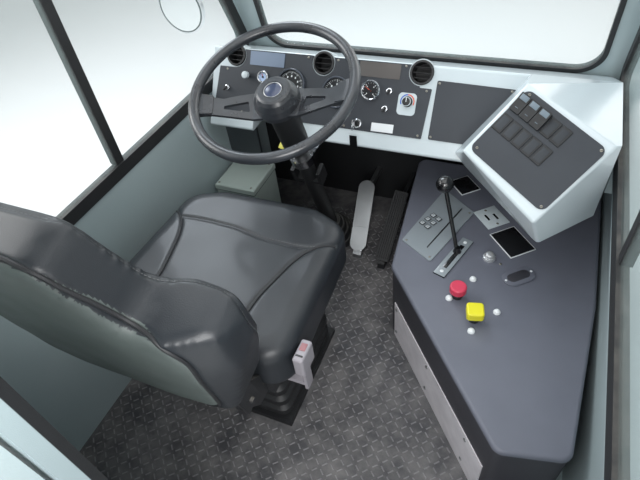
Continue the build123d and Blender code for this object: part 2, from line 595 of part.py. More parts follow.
def switch_pod():
    plane = pod_plane()
    corner = pod_corner()
    width, height = POD_PLATE
    top, right, front, left = [plane.from_local_coords((u, v, 0)) for u, v in POD_RIM]
    under = DASH_TOP - POD_HEIGHT
    foot_left, foot_front, foot_right = [corner + Vector(x, y, -POD_HEIGHT) for x, y in POD_FOOT]
    inside = corner + Vector(-60, -60, 40 - POD_HEIGHT)
    pod = block(foot_left.X - 40, DASH_RIGHT, foot_front.Y - 100, DASH_FACE_Y + 8, under, top.Z + 60)
    pod = cut_above(pod, top, right, left)
    pod = cut_above(pod, top, right, corner)
    pod = cut_outside(pod, left, front, foot_front, inside)
    pod = cut_outside(pod, left, foot_front, foot_left, inside)
    pod = cut_outside(pod, front, right, foot_right, inside)
    pod = cut_outside(pod, top, left, corner + POD_SIDE, inside)
    bevel = [e for e in pod.edges() if e.center().Z > under + 20 and e.center().Y < DASH_FACE_Y - 60
             and e.center().X < DASH_RIGHT - 10]
    pod = fillet(bevel, POD_ROUND)
    pod = cut_above(pod, top, corner, Vector(top.X, DASH_FACE_Y, DASH_TOP))
    s = radians(DASH_SLOPE)
    lip_y = DASH_FACE_Y - DASH_FACE * cos(s)
    lip_z = DASH_TOP - DASH_FACE * sin(s)
    dash_room = side_face([(DASH_FACE_Y, DASH_TOP), (lip_y, lip_z), (lip_y + 5, DASH_UNDER), (lip_y + 5, 0),
                           (FAR, 0), (FAR, FAR), (DASH_FACE_Y, FAR)], -FAR, FAR)
    pod -= dash_room
    pod -= face_sheet(BLANK_PANEL, -1, PANEL_SHEET, 0.5)
    save("switch_pod", pod)
    outline = Pos(width / 2, -height / 2) * RectangleRounded(width, height, PLATE_CORNER)
    plate = slab(plane, outline, 0, PANEL_SHEET)
    save("pod_panel", plate)
    rockers = []
    for row in range(2):
        for column in range(5):
            x = ROCKER_START[0] + column * ROCKER_PITCH[0]
            y = -ROCKER_START[1] - row * ROCKER_PITCH[1]
            face = Pos(x, y) * RectangleRounded(ROCKER[0], ROCKER[1], 2)
            if row == 0 and column < ROCKER_HIGH:
                key = slab(plane, face, PANEL_SHEET, PANEL_SHEET + 18)
                end = ROCKER[1] / 2
                top = plane * Pos(x, y, PANEL_SHEET)
                wedge = make_face(Polyline((0, -end - 1, 8), (0, 4, 11), (0, end + 1, 17), (0, end + 1, 30),
                                           (0, -end - 1, 30), close=True))
                wedge = Pos(-ROCKER[0], 0, 0) * extrude(wedge, 2 * ROCKER[0], dir=(1, 0, 0))
                rockers.append(key - top * wedge)
            else:
                blank = slab(plane, face, PANEL_SHEET, PANEL_SHEET + 2.5)
                rockers.append(chamfer(blank.faces().sort_by(Axis.Z)[-1].edges(), 1))
    save("pod_switches", Compound(rockers))


# Steering wheel and its column
HUB_PROFILE = ((0, -62), (62, -62), (64, -47), (60, -30), (52, -14), (46, -6), (40, -3), (27, -3), (25, -7),
               (0, -7))                                             # radius and height
SPOKE_TOP = ((40, 42), (66, 40), (113, 29), (140, 20), (166, 24), (208, 36))     # outline, along and across
SPOKE_UNDER = ((208, -32), (166, -34), (135, -38), (66, -48), (40, -50))
SPOKE_WINDOW = ((78, 12), (138, -4), (140, -15), (74, -24))
GRIP_SLEEVE = ((166, 29), (207, 36), (207, -34), (166, -31))
SPOKE_DISH = ((30, -46), (66, -45), (190, -7), (212, -3))           # height of its upper face
SLEEVE = 3.0                                                        # thickness of the sleeve on a spoke


def wheel_frame():
    """Place of the steering wheel: x to the right, y up its plane, z out of it towards the driver."""
    t = radians(WHEEL_TILT)
    return Plane(origin=(WHEEL_X, WHEEL_Y, WHEEL_Z), x_dir=(1, 0, 0), z_dir=(0, -sin(t), cos(t)))


def dished(low, high):
    """A strip along both spokes, bent down to the hub, between two heights from their upper face."""
    under = [(u, z + low) for u, z in SPOKE_DISH]
    upper = [(u, z + high) for u, z in reversed(SPOKE_DISH)]
    face = make_face(Polyline(*[(u, 0, z) for u, z in under + upper], close=True))
    return Pos(0, 60, 0) * extrude(face, 120, dir=(0, -1, 0))


def steering_wheel():
    wheel = Torus(WHEEL_RADIUS, WHEEL_GRIP)
    profile = make_face(Polyline(*[(r, 0, z) for r, z in HUB_PROFILE], close=True))
    wheel += revolve(profile, Axis.Z)
    for way in (-1, 1):
        outline, window, sleeve = [make_face(Polyline(*[(u, way * v, 0) for u, v in points], close=True))
                                   for points in (SPOKE_TOP + SPOKE_UNDER, SPOKE_WINDOW, GRIP_SLEEVE)]
        outline -= fillet(window.vertices(), 4)
        arm = Pos(0, 0, -HUB_DEPTH) * extrude(outline, HUB_DEPTH + 20) & dished(-SPOKE, 0)
        cuff = Pos(0, 0, -HUB_DEPTH) * extrude(fillet(sleeve.vertices(), 5), HUB_DEPTH + 20)
        arm += cuff & dished(-SPOKE - SLEEVE, SLEEVE)
        wheel += Rot(0, 0, -way * SPOKE_DROOP + (0 if way > 0 else 180)) * arm
    wheel -= Pos(0, 0, -HUB_DEPTH - 1) * extrude(Circle(SHAFT_RADIUS + SHAFT_FIT), HUB_DEPTH - 16)
    save("steering_wheel", wheel_frame().location * Rot(0, 0, WHEEL_TURN) * wheel)


def steering_column():
    t = radians(WHEEL_TILT)
    plane = wheel_frame()
    floor_run = WHEEL_Z / cos(t)
    top = HUB_DEPTH + COLUMN_GAP
    column = slab(plane, Circle(COLUMN_RADIUS), -floor_run - 40, -top)
    column += slab(plane, Circle(SHAFT_RADIUS), -top, -18)
    column += slab(plane, Circle(COLLAR_RADIUS), -top - COLLAR_LENGTH, -top)
    yoke = slab(plane, Rectangle(100, 44), -420, -404)
    for way in (-1, 1):
        yoke += slab(plane, Pos(way * 44, 0) * Rectangle(12, 44), -420, -360)
    column += yoke
    column -= block(-600, 200, 1100, 1700, BASE_Z - 200, 0)
    save("steering_column", column)
    foot_y = WHEEL_Y + WHEEL_Z * tan(t)
    foot = Plane(origin=(WHEEL_X, foot_y, 0))
    neck = floor_run - 130
    boot = loft([foot * Circle(BOOT_RADIUS), plane.offset(-neck) * Circle(COLUMN_RADIUS + 12)])
    for fold in (0.3, 0.55, 0.8):
        radius = BOOT_RADIUS + (COLUMN_RADIUS + 12 - BOOT_RADIUS) * fold
        boot += plane.offset(-floor_run + 130 * fold).location * Torus(radius, 7)
    boot -= slab(plane, Circle(COLUMN_RADIUS), -floor_run - 200, 0)
    boot -= block(-600, 200, 1000, 1700, -200, 0)
    save("column_boot", boot)
    ring = slab(plane, Circle(COLUMN_RADIUS + 12), -318, -286) - slab(plane, Circle(COLUMN_RADIUS), -400, 0)
    ring_centre = plane.from_local_coords((0, 0, -302))
    arm = block(WHEEL_X - 28, WHEEL_X + 28, ring_centre.Y, DASH_FACE_Y, DASH_UNDER - 12, DASH_UNDER)
    arm -= slab(plane, Circle(COLUMN_RADIUS + 6), -600, 0)
    save("column_bracket", ring + arm)


# Pedals, and the panels beside them
PEDALS = (("brake_treadle", (-100, 1170, 34), (-124, 1388, 200), 62),      # heel, toe, width
          ("accelerator", (4, 1145, 40), (19, 1359, 200), 52))


def pedals():
    for name, heel, toe, width in PEDALS:
        a = Vector(*heel)
        b = Vector(*toe)
        run = (b - a).normalized()
        across = run.cross(Vector(0, 0, 1)).normalized()
        plane = Plane(origin=(a + b) / 2, x_dir=across, z_dir=across.cross(run))
        length = (b - a).length
        if name == "accelerator":
            plate = slab(plane, RectangleRounded(width, length, 5), -8, 0)
            ribs = [slab(plane, Pos(x) * Rectangle(4, length - 16), 0, 4) for x in (-20, -12, -4, 4, 12, 20)]
            plate = joined([plate] + ribs)
        else:
            plate = slab(plane, RectangleRounded(width, length, width / 2 - 1), -10, 0)
            plate -= slab(plane, Pos(0, -length * 0.17) * Rectangle(width + 2, 5), -3, 1)
        bracket = block(a.X - width / 4, a.X + width / 4, a.Y - 6, a.Y + 50, 0, a.Z + 18)
        bracket = bracket - slab(plane, Rectangle(width * 2, length * 2), -8, 200)
        arm = block(b.X - 8, b.X + 8, b.Y - 40, FRONT_IN - LINER, b.Z - 60, b.Z - 40)
        save(name, plate + bracket + (arm + rod((b.X, b.Y - 30, b.Z - 50), (b.X, b.Y - 30, b.Z - 26), 7)))


RELAY = (-606.0, -450.0, 1095.0, 1262.0)     # limits in x and y
KICK_RIGHT = -495.0


def left_corner():
    x0, x1, y0, y1 = RELAY
    lid = block(x0, x1 + 5, y0 - 5, y1, RELAY_TOP - 22, RELAY_TOP)
    box = block(x0, x1, y0, y1, 0, RELAY_TOP - 22)
    save("relay_box", box + fillet(lid.faces().sort_by(Axis.Z)[-1].edges(), 6))
    save("kick_panel", block(-HALF_WIDTH, KICK_RIGHT, y1, y1 + LINER, 0, DASH_UNDER))
    save("firewall_liner", block(-HALF_WIDTH, HALF_WIDTH, FRONT_IN - LINER, FRONT_IN, 0, DASH_UNDER))


# Console beside the driver
CONSOLE_RIGHT = HALF_WIDTH + CONSOLE_OUT
CONSOLE = ((64, 1431), (117, 898), (484, 451), (CONSOLE_RIGHT - 29, 484), (CONSOLE_RIGHT, 922),
           (CONSOLE_RIGHT, 1431))
CONSOLE_CORNER = 26.0


def console():
    outline = offset(make_face(Polyline(*[(x, y, 0) for x, y in CONSOLE], close=True)), -COVER_LAP,
                     kind=Kind.INTERSECTION)
    body = extrude(fillet(outline.vertices(), CONSOLE_CORNER), CONSOLE_TOP - COVER)
    save("console_body", body)
    cover = plan_face(CONSOLE, CONSOLE_TOP - COVER, CONSOLE_TOP, CONSOLE_CORNER + COVER_LAP)
    save("console_cover", fillet(cover.faces().sort_by(Axis.Z)[-1].edges(), COVER_EDGE))
    a = Vector(117, 898)
    b = Vector(484, 451)
    run = (b - a).normalized()
    out = Vector(run.Y, -run.X)
    start = a + run * CONSOLE_CORNER - out * COVER_LAP
    end = b - run * CONSOLE_CORNER - out * COVER_LAP
    points = [start, end, end + out * SKIRT, start + out * SKIRT]
    skirt = plan_face([(p.X, p.Y) for p in points], 0, SKIRT_TOP)
    save("console_skirt", skirt)


QUADRANT = ((119, 1006), (221, 943), (301, 1187), (190, 1273))
GATE = (281.0, 981.0, 36.0, 170.0, -17.5)    # middle x and y, width, length, turn
LEVER_FOOT = (286.0, 1004.0)
LEVER_BALL = (222.0, 1068.0, 505.0)
BALL_RADIUS = 25.0
BUTTONS = ((160, 1092), (180, 1079), (172, 1113), (192, 1100), (184, 1134), (204, 1121))   # middles


def shift_controls():
    top = CONSOLE_TOP
    x, y, width, length, turn = GATE
    plate = plan_face(QUADRANT, top, top + 4, 6)
    groove = Pos(230, 1094, top + 3) * Rot(0, 0, -17.5) * Box(4, 210, 4)
    plate -= groove
    buttons = [Pos(bx, by, top + 6) * Rot(0, 0, 57) * Box(13, 13, 5) for bx, by in BUTTONS]
    save("shift_pad", joined([plate] + buttons))
    gate = Pos(x, y, top + 2) * Rot(0, 0, turn) * Box(width, length, 4)
    gate -= Pos(x, y, top + 3) * Rot(0, 0, turn) * Box(10, length - 70, 4)
    foot = (LEVER_FOOT[0], LEVER_FOOT[1], top + 2)
    boot = Pos(*LEVER_FOOT, top + 4 + 9) * Cone(13, 8, 18)
    lever = rod(foot, LEVER_BALL, 6) + boot + Pos(*LEVER_BALL) * Sphere(BALL_RADIUS)
    save("shift_lever", gate + (lever - block(200, 400, 900, 1100, top - 50, top + 4)))


PLATES = (("label", 247, 1315, 81, 70), ("socket", 355, 1182, 85, 74), ("label", 430, 1092, 108, 84))
PLATES_TURN = -48.0
CAP_SCREWS = ((349, 915), (301, 829), (428, 821), (377, 741))
PARK_KNOB = (320.0, 843.0)
TRAILER_KNOB = (376.0, 780.0)
KNOB_TURN = 14.0


def console_fittings():
    top = CONSOLE_TOP
    plates = []
    for kind, x, y, length, width in PLATES:
        plate = Pos(x, y, top + 1) * Rot(0, 0, PLATES_TURN) * Box(length, width, 2)
        if kind == "socket":
            for way in (-1, 1):
                plate -= Pos(x, y, top + 2) * Rot(0, 0, PLATES_TURN) * Pos(0, way * 12) * Box(6, 12, 4)
        plates.append(plate)
    caps = [Pos(x, y, top) * (Sphere(9) & Pos(0, 0, 10) * Box(30, 30, 20)) for x, y in CAP_SCREWS]
    push = Pos(377, 1008, top + 4) * Cylinder(17, 8) + Pos(377, 1008, top + 12) * Cylinder(12, 10)
    push = fillet(push.edges().sort_by(Axis.Z)[-1:], 3)
    cup = Pos(464, 961, top) * Rot(0, 0, 42) * extrude(SlotOverall(92, 54), 4)
    cup -= Pos(464, 961, top + 1) * Rot(0, 0, 42) * extrude(SlotOverall(70, 34), 4)
    save("console_fittings", Compound(plates + caps + [push, cup]))
    collar = Pos(0, 0, top + 4) * Cylinder(13.5, 8) + Pos(0, 0, top + 15) * Cylinder(9, 22)
    red = collar + Pos(0, 0, top + 34) * Cylinder(22.5, 20)
    save("park_knob", Pos(*PARK_KNOB) * fillet(red.edges().sort_by(Axis.Z)[-1:], 5))
    knob = Pos(0, 0, top + 35) * Rot(0, 0, KNOB_TURN) * Box(44, 44, 22)
    knob = fillet(knob.edges().filter_by(Axis.Z), 9)
    knob = fillet(knob.faces().sort_by(Axis.Z)[-1].edges(), 5)
    save("trailer_knob", Pos(*TRAILER_KNOB) * (collar + knob))


# Seat
BACK_OUTLINE = ((238, BACK_FOOT, 40), (313, 760, 60), (313, 845, 45),    # x, z and radius of its right half
                (162, 845, 45), (105, 1009, 36))
BACK_REAR_CURVE = ((120, 0), (235, 6), (300, 40))
BACK_FRONT_CURVE = ((313, 8), (296, BACK_WINGS - 3), (225, BACK_WINGS), (120, 0))


def seat():
    rail_x = RISER_HALF - 20
    riser = block(SEAT_X - RISER_HALF, SEAT_X + RISER_HALF, RISER_REAR, RISER_FRONT, 0, 20)
    folds = 5
    fold = (SLIDE_TOP - 2 * SLIDE_HEIGHT - 20) / folds
    for k in range(folds):
        z = 20 + k * fold
        half = RISER_HALF - 8
        low = plan_face([(SEAT_X - half, RISER_REAR + 8), (SEAT_X + half, RISER_REAR + 8),
                         (SEAT_X + half, RISER_FRONT - 8), (SEAT_X - half, RISER_FRONT - 8)], z, z + fold, 30)
        riser += chamfer(low.edges().filter_by(GeomType.LINE).filter_by(Axis.Z, reverse=True), fold * 0.3)
    for way in (-1, 1):
        x = SEAT_X + way * rail_x
        riser += block(x - SLIDE_HALF, x + SLIDE_HALF, RISER_REAR - 60, RISER_FRONT + 60,
                       SLIDE_TOP - 2 * SLIDE_HEIGHT, SLIDE_TOP - SLIDE_HEIGHT)
    save("seat_base", riser)
    pan_top = CUSHION_BOTTOM - SEAT_GAP
    frame = block(SEAT_X - CUSHION_FRONT_HALF + 30, SEAT_X + CUSHION_FRONT_HALF - 30, CUSHION_REAR + 10,
                  CUSHION_FRONT - 50, SLIDE_TOP, pan_top)
    for way in (-1, 1):
        x = SEAT_X + way * rail_x
        frame += block(x - SLIDE_HALF + 4, x + SLIDE_HALF - 4, RISER_REAR, RISER_FRONT,
                       SLIDE_TOP - SLIDE_HEIGHT + SEAT_GAP, SLIDE_TOP)
    cheek_x = 200.0
    for way in (-1, 1):
        x = SEAT_X + way * cheek_x
        cheek = side_face([(HINGE_Y - 22, HINGE_Z - 22), (HINGE_Y - 22, HINGE_Z + 22),
                           (HINGE_Y + 22, HINGE_Z + 22), (CUSHION_REAR + 40, pan_top),
                           (CUSHION_REAR + 40, SLIDE_TOP), (HINGE_Y + 40, SLIDE_TOP)], x - 5, x + 5)
        cheek -= block(x - 6, x + 6, CUSHION_REAR - SEAT_GAP, CUSHION_FRONT, CUSHION_BOTTOM - SEAT_GAP, 600)
        pin = Pos(x + way * 14, HINGE_Y, HINGE_Z) * Rot(0, 90, 0) * Cylinder(HINGE_RADIUS, 38)
        frame += cheek + pin
    save("seat_frame", frame)
    right_side = [(CUSHION_REAR_HALF, CUSHION_REAR), (CUSHION_FRONT_HALF, CUSHION_FRONT - 46),
                  (CUSHION_FRONT_HALF - 106, CUSHION_FRONT)]
    points = [(SEAT_X + x, y) for x, y in right_side] + [(SEAT_X - x, y) for x, y in reversed(right_side)]
    cushion = plan_face(points, CUSHION_BOTTOM, CUSHION_TOP, 70)
    cushion = fillet(cushion.faces().sort_by(Axis.Z)[-1].edges(), 26)
    save("seat_cushion", cushion)
    front = Plane(origin=(SEAT_X, 0, 0), x_dir=(1, 0, 0), z_dir=(0, -1, 0))
    contour = [(x, z) for x, z, radius in BACK_OUTLINE] + [(-x, z) for x, z, radius in reversed(BACK_OUTLINE)]
    face = make_face(Polyline(*[(x, z, 0) for x, z in contour], close=True))
    for x, z, radius in BACK_OUTLINE:
        pair = [v for v in face.vertices() if abs(v.Z) < 1 and abs(abs(v.X) - x) < 1 and abs(v.Y - z) < 1]
        face = fillet(pair, radius)
    section = [(x, BACK_REAR + y) for x, y in BACK_REAR_CURVE]
    section += [(x, BACK_FRONT + y) for x, y in BACK_FRONT_CURVE]
    section += [(-x, y) for x, y in reversed(section)]
    plan = make_face(Polyline(*[(SEAT_X + x, y, 0) for x, y in section], close=True))
    plan = fillet(plan.vertices(), 14)
    back = slab(front, face, -FAR, 0) & extrude(plan, FAR, dir=(0, 0, 1))
    lean = Pos(0, HINGE_Y, HINGE_Z) * Rot(BACK_TILT, 0, 0) * Pos(0, -HINGE_Y, -HINGE_Z)
    save("seat_back", lean * back)
    shell = None
    for way in (-1, 1):
        x = SEAT_X + way * (cheek_x + 20)
        arm = side_face([(HINGE_Y - 26, HINGE_Z - 26), (HINGE_Y - 26, BACK_FOOT + 20),
                         (HINGE_Y + 26, BACK_FOOT + 20), (HINGE_Y + 26, HINGE_Z - 26)], x - 5, x + 5)
        arm -= Pos(x, HINGE_Y, HINGE_Z) * Rot(0, 90, 0) * Cylinder(HINGE_RADIUS + SHAFT_FIT, 40)
        shell = arm if shell is None else shell + arm
    beam = block(SEAT_X - cheek_x - 25, SEAT_X + cheek_x + 25, HINGE_Y - 26, HINGE_Y + 26,
                 BACK_FOOT - 12, BACK_FOOT - SEAT_GAP)
    shell += beam
    for way in (-1, 1):
        x = SEAT_X + way * (cheek_x + 20)
        shell -= block(x - 6, x + 6, HINGE_Y - 60, HINGE_Y + 60, BACK_FOOT - SEAT_GAP, BACK_FOOT + 60)
    save("seat_back_frame", lean * shell)
    belt_x = SEAT_X + CUSHION_REAR_HALF + 16
    stalk = block(belt_x - 4, belt_x + 4, 448, 476, 320, 420)
    stalk += block(SEAT_X + CUSHION_FRONT_HALF - 30, belt_x, 448, 476, 336, 350)
    buckle = fillet(block(belt_x - 13, belt_x + 13, 432, 492, 405, 470).edges(), 6)
    save("seat_buckle", stalk + buckle)


# Outside
def mirrors():
    for side, name in ((-1, "left"), (1, "right")):
        flange = Pos(side * (SIDE_OUT + 5), 1443, 1000) * Rot(0, 90, 0) * Cylinder(21, 10)
        path = [(side * (SIDE_OUT + 5), 1443, 1000), (side * 866, 1514, 1000), (side * 866, 1514, 720)]
        arm = bent_rod(path, 40, 9)
        dish = Pos(side * 866, 1505, 767) * Rot(90, 0, 0) * Cylinder(95, 22)
        dish = fillet(dish.edges().sort_by(Axis.Y)[-1:], 10)
        save(name + "_mirror", flange + arm + dish)


def outside_fittings():
    rails = []
    for x in ((DOOR_RIGHT + HALF_WIDTH) / 2,):
        y = -(DOOR_GAP + LEAF + HANDLE) + 8
        path = [(x, 0, 700), (x, y, 700), (x, y, 1200), (x, 0, 1200)]
        rails.append(bent_rod(path, 24, 8))
    save("grab_handle", joined(rails))
    top = Vector(SCREEN_MIDDLE, FRONT_IN - (SCREEN_LOW - SCREEN_FOOT) * LEAN, SCREEN_LOW)
    pivot = top + SCREEN_UP * (SCREEN_LENGTH + 54) + SCREEN_OUT * SCREEN_WALL
    plane = Plane(origin=pivot, x_dir=(-1, 0, 0), z_dir=SCREEN_OUT)
    wiper = slab(plane, RectangleRounded(110, 24, 8), 0, 22)
    wiper += slab(plane, Circle(9), 0, 36)
    reach = SCREEN_HALF * 0.53
    blade_low = GLASS_SET + GLASS + 2 - SCREEN_WALL
    bend = plane.from_local_coords((reach, -130, 26))
    wiper += rod(plane.from_local_coords((0, 0, 30)), bend, 5)
    wiper += rod(bend, plane.from_local_coords((reach, -130, 2)), 5)
    wiper += slab(plane, Pos(reach, -130) * Rot(0, 0, -4) * Rectangle(SCREEN_HALF * 0.84, 10), blade_low, 4)
    save("wiper", wiper)


base_frame()
floor()
side_walls()
rear_wall()
door_tracks()
front_wall()
roof()
rear_door()
dash()
dash_controls()
switch_pod()
steering_wheel()
steering_column()
pedals()
left_corner()
console()
shift_controls()
console_fittings()
seat()
mirrors()
outside_fittings()
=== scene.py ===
"""Cab of a terminal tractor with its driver's station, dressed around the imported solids."""
import math

import bmesh
import bpy
from mathutils import Matrix, Vector
from mathutils.bvhtree import BVHTree
from mathutils.kdtree import KDTree


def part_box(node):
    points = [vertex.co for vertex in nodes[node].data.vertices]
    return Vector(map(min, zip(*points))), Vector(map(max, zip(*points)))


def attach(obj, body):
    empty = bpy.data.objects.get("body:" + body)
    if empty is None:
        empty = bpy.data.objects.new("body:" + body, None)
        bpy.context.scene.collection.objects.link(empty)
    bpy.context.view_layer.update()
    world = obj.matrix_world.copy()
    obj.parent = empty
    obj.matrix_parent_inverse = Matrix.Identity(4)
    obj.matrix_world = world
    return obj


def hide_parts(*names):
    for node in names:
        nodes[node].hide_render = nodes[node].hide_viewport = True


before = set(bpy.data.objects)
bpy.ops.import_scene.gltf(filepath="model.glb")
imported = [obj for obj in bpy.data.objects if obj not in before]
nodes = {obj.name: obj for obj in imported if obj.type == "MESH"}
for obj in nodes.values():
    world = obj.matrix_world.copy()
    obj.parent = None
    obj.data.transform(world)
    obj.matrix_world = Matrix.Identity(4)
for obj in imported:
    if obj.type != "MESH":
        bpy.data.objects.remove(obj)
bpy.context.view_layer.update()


# The photograph's view: a wide lens held high in the rear doorway, looking down to the left over
# the seat. The angles are the ones that the cab's own edges gave.
CAMERA_AT = Vector((0.4093, -0.8628, 1.5374))
CAMERA_YAW = math.radians(28.1)
CAMERA_PITCH = math.radians(44.7)
CAMERA_ROLL = math.radians(-8.0)
camera_data = bpy.data.cameras.new("camera")
camera_data.sensor_width = 36.0
camera_data.sensor_fit = "HORIZONTAL"
camera_data.lens = 28.62
camera_data.clip_start = 0.01
camera = bpy.data.objects.new("camera", camera_data)
bpy.context.scene.collection.objects.link(camera)
look = Vector((-math.sin(CAMERA_YAW) * math.cos(CAMERA_PITCH), math.cos(CAMERA_YAW) * math.cos(CAMERA_PITCH),
               -math.sin(CAMERA_PITCH)))
level = Vector((math.cos(CAMERA_YAW), math.sin(CAMERA_YAW), 0))
right = level * math.cos(CAMERA_ROLL) + level.cross(look) * math.sin(CAMERA_ROLL)
up = right.cross(look)
camera.matrix_world = Matrix.Translation(CAMERA_AT) @ Matrix((right, up, -look)).transposed().to_4x4()
bpy.context.scene.camera = camera


# Plain soft studio light: a pale floor, an even white surround, and lamps round the cab. A wide
# lamp hangs under the roof and a small one stands behind the doorway, because the roof keeps the
# others from the driver's station.
def lamp(name, place, target, size, power, colour=(1.0, 1.0, 1.0)):
    data = bpy.data.lights.new(name, "AREA")
    data.shape = "RECTANGLE"
    data.size, data.size_y = size
    data.energy = power
    data.color = colour
    light = bpy.data.objects.new(name, data)
    bpy.context.scene.collection.objects.link(light)
    light.location = place
    light.rotation_euler = (Vector(target) - Vector(place)).to_track_quat("-Z", "Y").to_euler()
    light.visible_camera = False


lamp("lamp_cabin", (0.0, 0.05, 1.655), (0.0, 0.05, 0), (1.15, 1.2), 7.5)
lamp("lamp_doorway", (0.33, -1.05, 1.35), (-0.45, -0.25, 0.3), (0.5, 0.5), 6)
lamp("lamp_rear", (1.2, -3.0, 2.6), (0, 0, 0.8), (2.4, 2.0), 62)
lamp("lamp_left", (-2.8, -0.5, 2.3), (0.6, -0.3, 0.4), (2.0, 1.6), 75)
lamp("lamp_left_front", (-1.65, 1.7, 2.75), (-0.2, -0.15, 0.6), (1.5, 1.3), 74, colour=(0.84, 0.92, 1.0))
lamp("lamp_front", (1.2, 3.2, 2.6), (0, 0, 0.8), (2.4, 2.0), 42)
world = bpy.data.worlds.new("surround")
bpy.context.scene.world = world
world.use_nodes = True
surround = world.node_tree
surround.nodes["Background"].inputs["Color"].default_value = (0.92, 0.96, 1.0, 1)
surround.nodes["Background"].inputs["Strength"].default_value = 0.7
white = surround.nodes.new("ShaderNodeBackground")
white.inputs["Color"].default_value = (0.97, 0.98, 0.98, 1)
rays = surround.nodes.new("ShaderNodeLightPath")
seen = rays.outputs["Is Camera Ray"]
for kind_of_ray in ("Is Glossy Ray", "Is Transmission Ray"):
    either = surround.nodes.new("ShaderNodeMath")
    either.operation = "MAXIMUM"
    surround.links.new(seen, either.inputs[0])
    surround.links.new(rays.outputs[kind_of_ray], either.inputs[1])
    seen = either.outputs[0]
swap = surround.nodes.new("ShaderNodeMixShader")
surround.links.new(seen, swap.inputs["Fac"])
surround.links.new(surround.nodes["Background"].outputs[0], swap.inputs[1])
surround.links.new(white.outputs[0], swap.inputs[2])
surround.links.new(swap.outputs[0], surround.nodes["World Output"].inputs["Surface"])
bpy.context.scene.view_settings.view_transform = "Standard"

ground_mesh = bpy.data.meshes.new("ground")
shape = bmesh.new()
bmesh.ops.create_grid(shape, x_segments=1, y_segments=1, size=12.0)
shape.to_mesh(ground_mesh)
shape.free()
ground = bpy.data.objects.new("ground", ground_mesh)
bpy.context.scene.collection.objects.link(ground)
ground_finish = bpy.data.materials.new("ground")
ground_finish.use_nodes = True
ground_shader = ground_finish.node_tree.nodes["Principled BSDF"]
ground_shader.inputs["Base Color"].default_value = (0.72, 0.72, 0.71, 1)
ground_shader.inputs["Roughness"].default_value = 0.9
ground_mesh.materials.append(ground_finish)


# The cab's welded shell of folded steel sheet: walls, roof, rear wall and door leaf. It is sprayed
# a pale blue-grey, which lies a little uneven.
def linear(red, green, blue):
    """A colour read off a picture, from 0 to 255, as the shader wants it."""
    return tuple((c / 255 / 12.92 if c < 10.3 else ((c / 255 + 0.055) / 1.055) ** 2.4)
                 for c in (red, green, blue)) + (1.0,)


def effect(name, inputs, outputs):
    """An empty node group with named inputs (socket type, value) and outputs (socket type)."""
    group = bpy.data.node_groups.new(name, "ShaderNodeTree")
    for label, (kind, value) in inputs.items():
        socket = group.interface.new_socket(label, in_out="INPUT", socket_type=kind)
        socket.default_value = value
    for label, kind in outputs.items():
        group.interface.new_socket(label, in_out="OUTPUT", socket_type=kind)
    return group, group.nodes.new("NodeGroupInput"), group.nodes.new("NodeGroupOutput")


def noise(tree, scale, detail=3.0, roughness=0.5):
    """A noise texture on Object coordinates."""
    place = tree.nodes.new("ShaderNodeTexCoord")
    texture = tree.nodes.new("ShaderNodeTexNoise")
    tree.links.new(place.outputs["Object"], texture.inputs["Vector"])
    if hasattr(scale, "is_output"):
        tree.links.new(scale, texture.inputs["Scale"])
    else:
        texture.inputs["Scale"].default_value = scale
    texture.inputs["Detail"].default_value = detail
    texture.inputs["Roughness"].default_value = roughness
    return texture.outputs["Fac"]


def blend_colour(tree, factor, first, second):
    """A colour mix; each colour is a socket or a plain value."""
    mix = tree.nodes.new("ShaderNodeMix")
    mix.data_type = "RGBA"
    for value, socket in ((factor, mix.inputs[0]), (first, mix.inputs[6]), (second, mix.inputs[7])):
        if hasattr(value, "is_output"):
            tree.links.new(value, socket)
        else:
            socket.default_value = value
    return mix.outputs[2]


def steps(tree, value, low, high, bottom=0.0, top=1.0):
    """A value carried from one range to another, held at the ends."""
    ramp = tree.nodes.new("ShaderNodeMapRange")
    tree.links.new(value, ramp.inputs["Value"])
    for label, number in (("From Min", low), ("From Max", high), ("To Min", bottom), ("To Max", top)):
        if hasattr(number, "is_output"):
            tree.links.new(number, ramp.inputs[label])
        else:
            ramp.inputs[label].default_value = number
    return ramp.outputs["Result"]


# Colour that drifts slowly over a surface
mottle, mottle_in, mottle_out = effect(
    "mottle", {"Colour": ("NodeSocketColor", (1, 1, 1, 1)), "Other": ("NodeSocketColor", (0, 0, 0, 1)),
               "Scale": ("NodeSocketFloat", 8.0), "Amount": ("NodeSocketFloat", 0.5)},
    {"Colour": "NodeSocketColor", "Mask": "NodeSocketFloat"})
mottle_mask = steps(mottle, noise(mottle, mottle_in.outputs["Scale"], 4.0), 0.35, 0.7, 0.0,
                    mottle_in.outputs["Amount"])
mottle.links.new(blend_colour(mottle, mottle_mask, mottle_in.outputs["Colour"], mottle_in.outputs["Other"]),
                 mottle_out.inputs["Colour"])
mottle.links.new(mottle_mask, mottle_out.inputs["Mask"])

# Fine relief of a moulded, sprayed or pressed surface
grain, grain_in, grain_out = effect(
    "grain", {"Scale": ("NodeSocketFloat", 900.0), "Depth": ("NodeSocketFloat", 0.0002)},
    {"Normal": "NodeSocketVector"})
grain_bump = grain.nodes.new("ShaderNodeBump")
grain.links.new(noise(grain, grain_in.outputs["Scale"], 2.0), grain_bump.inputs["Height"])
grain.links.new(grain_in.outputs["Depth"], grain_bump.inputs["Distance"])
grain.links.new(grain_bump.outputs["Normal"], grain_out.inputs["Normal"])

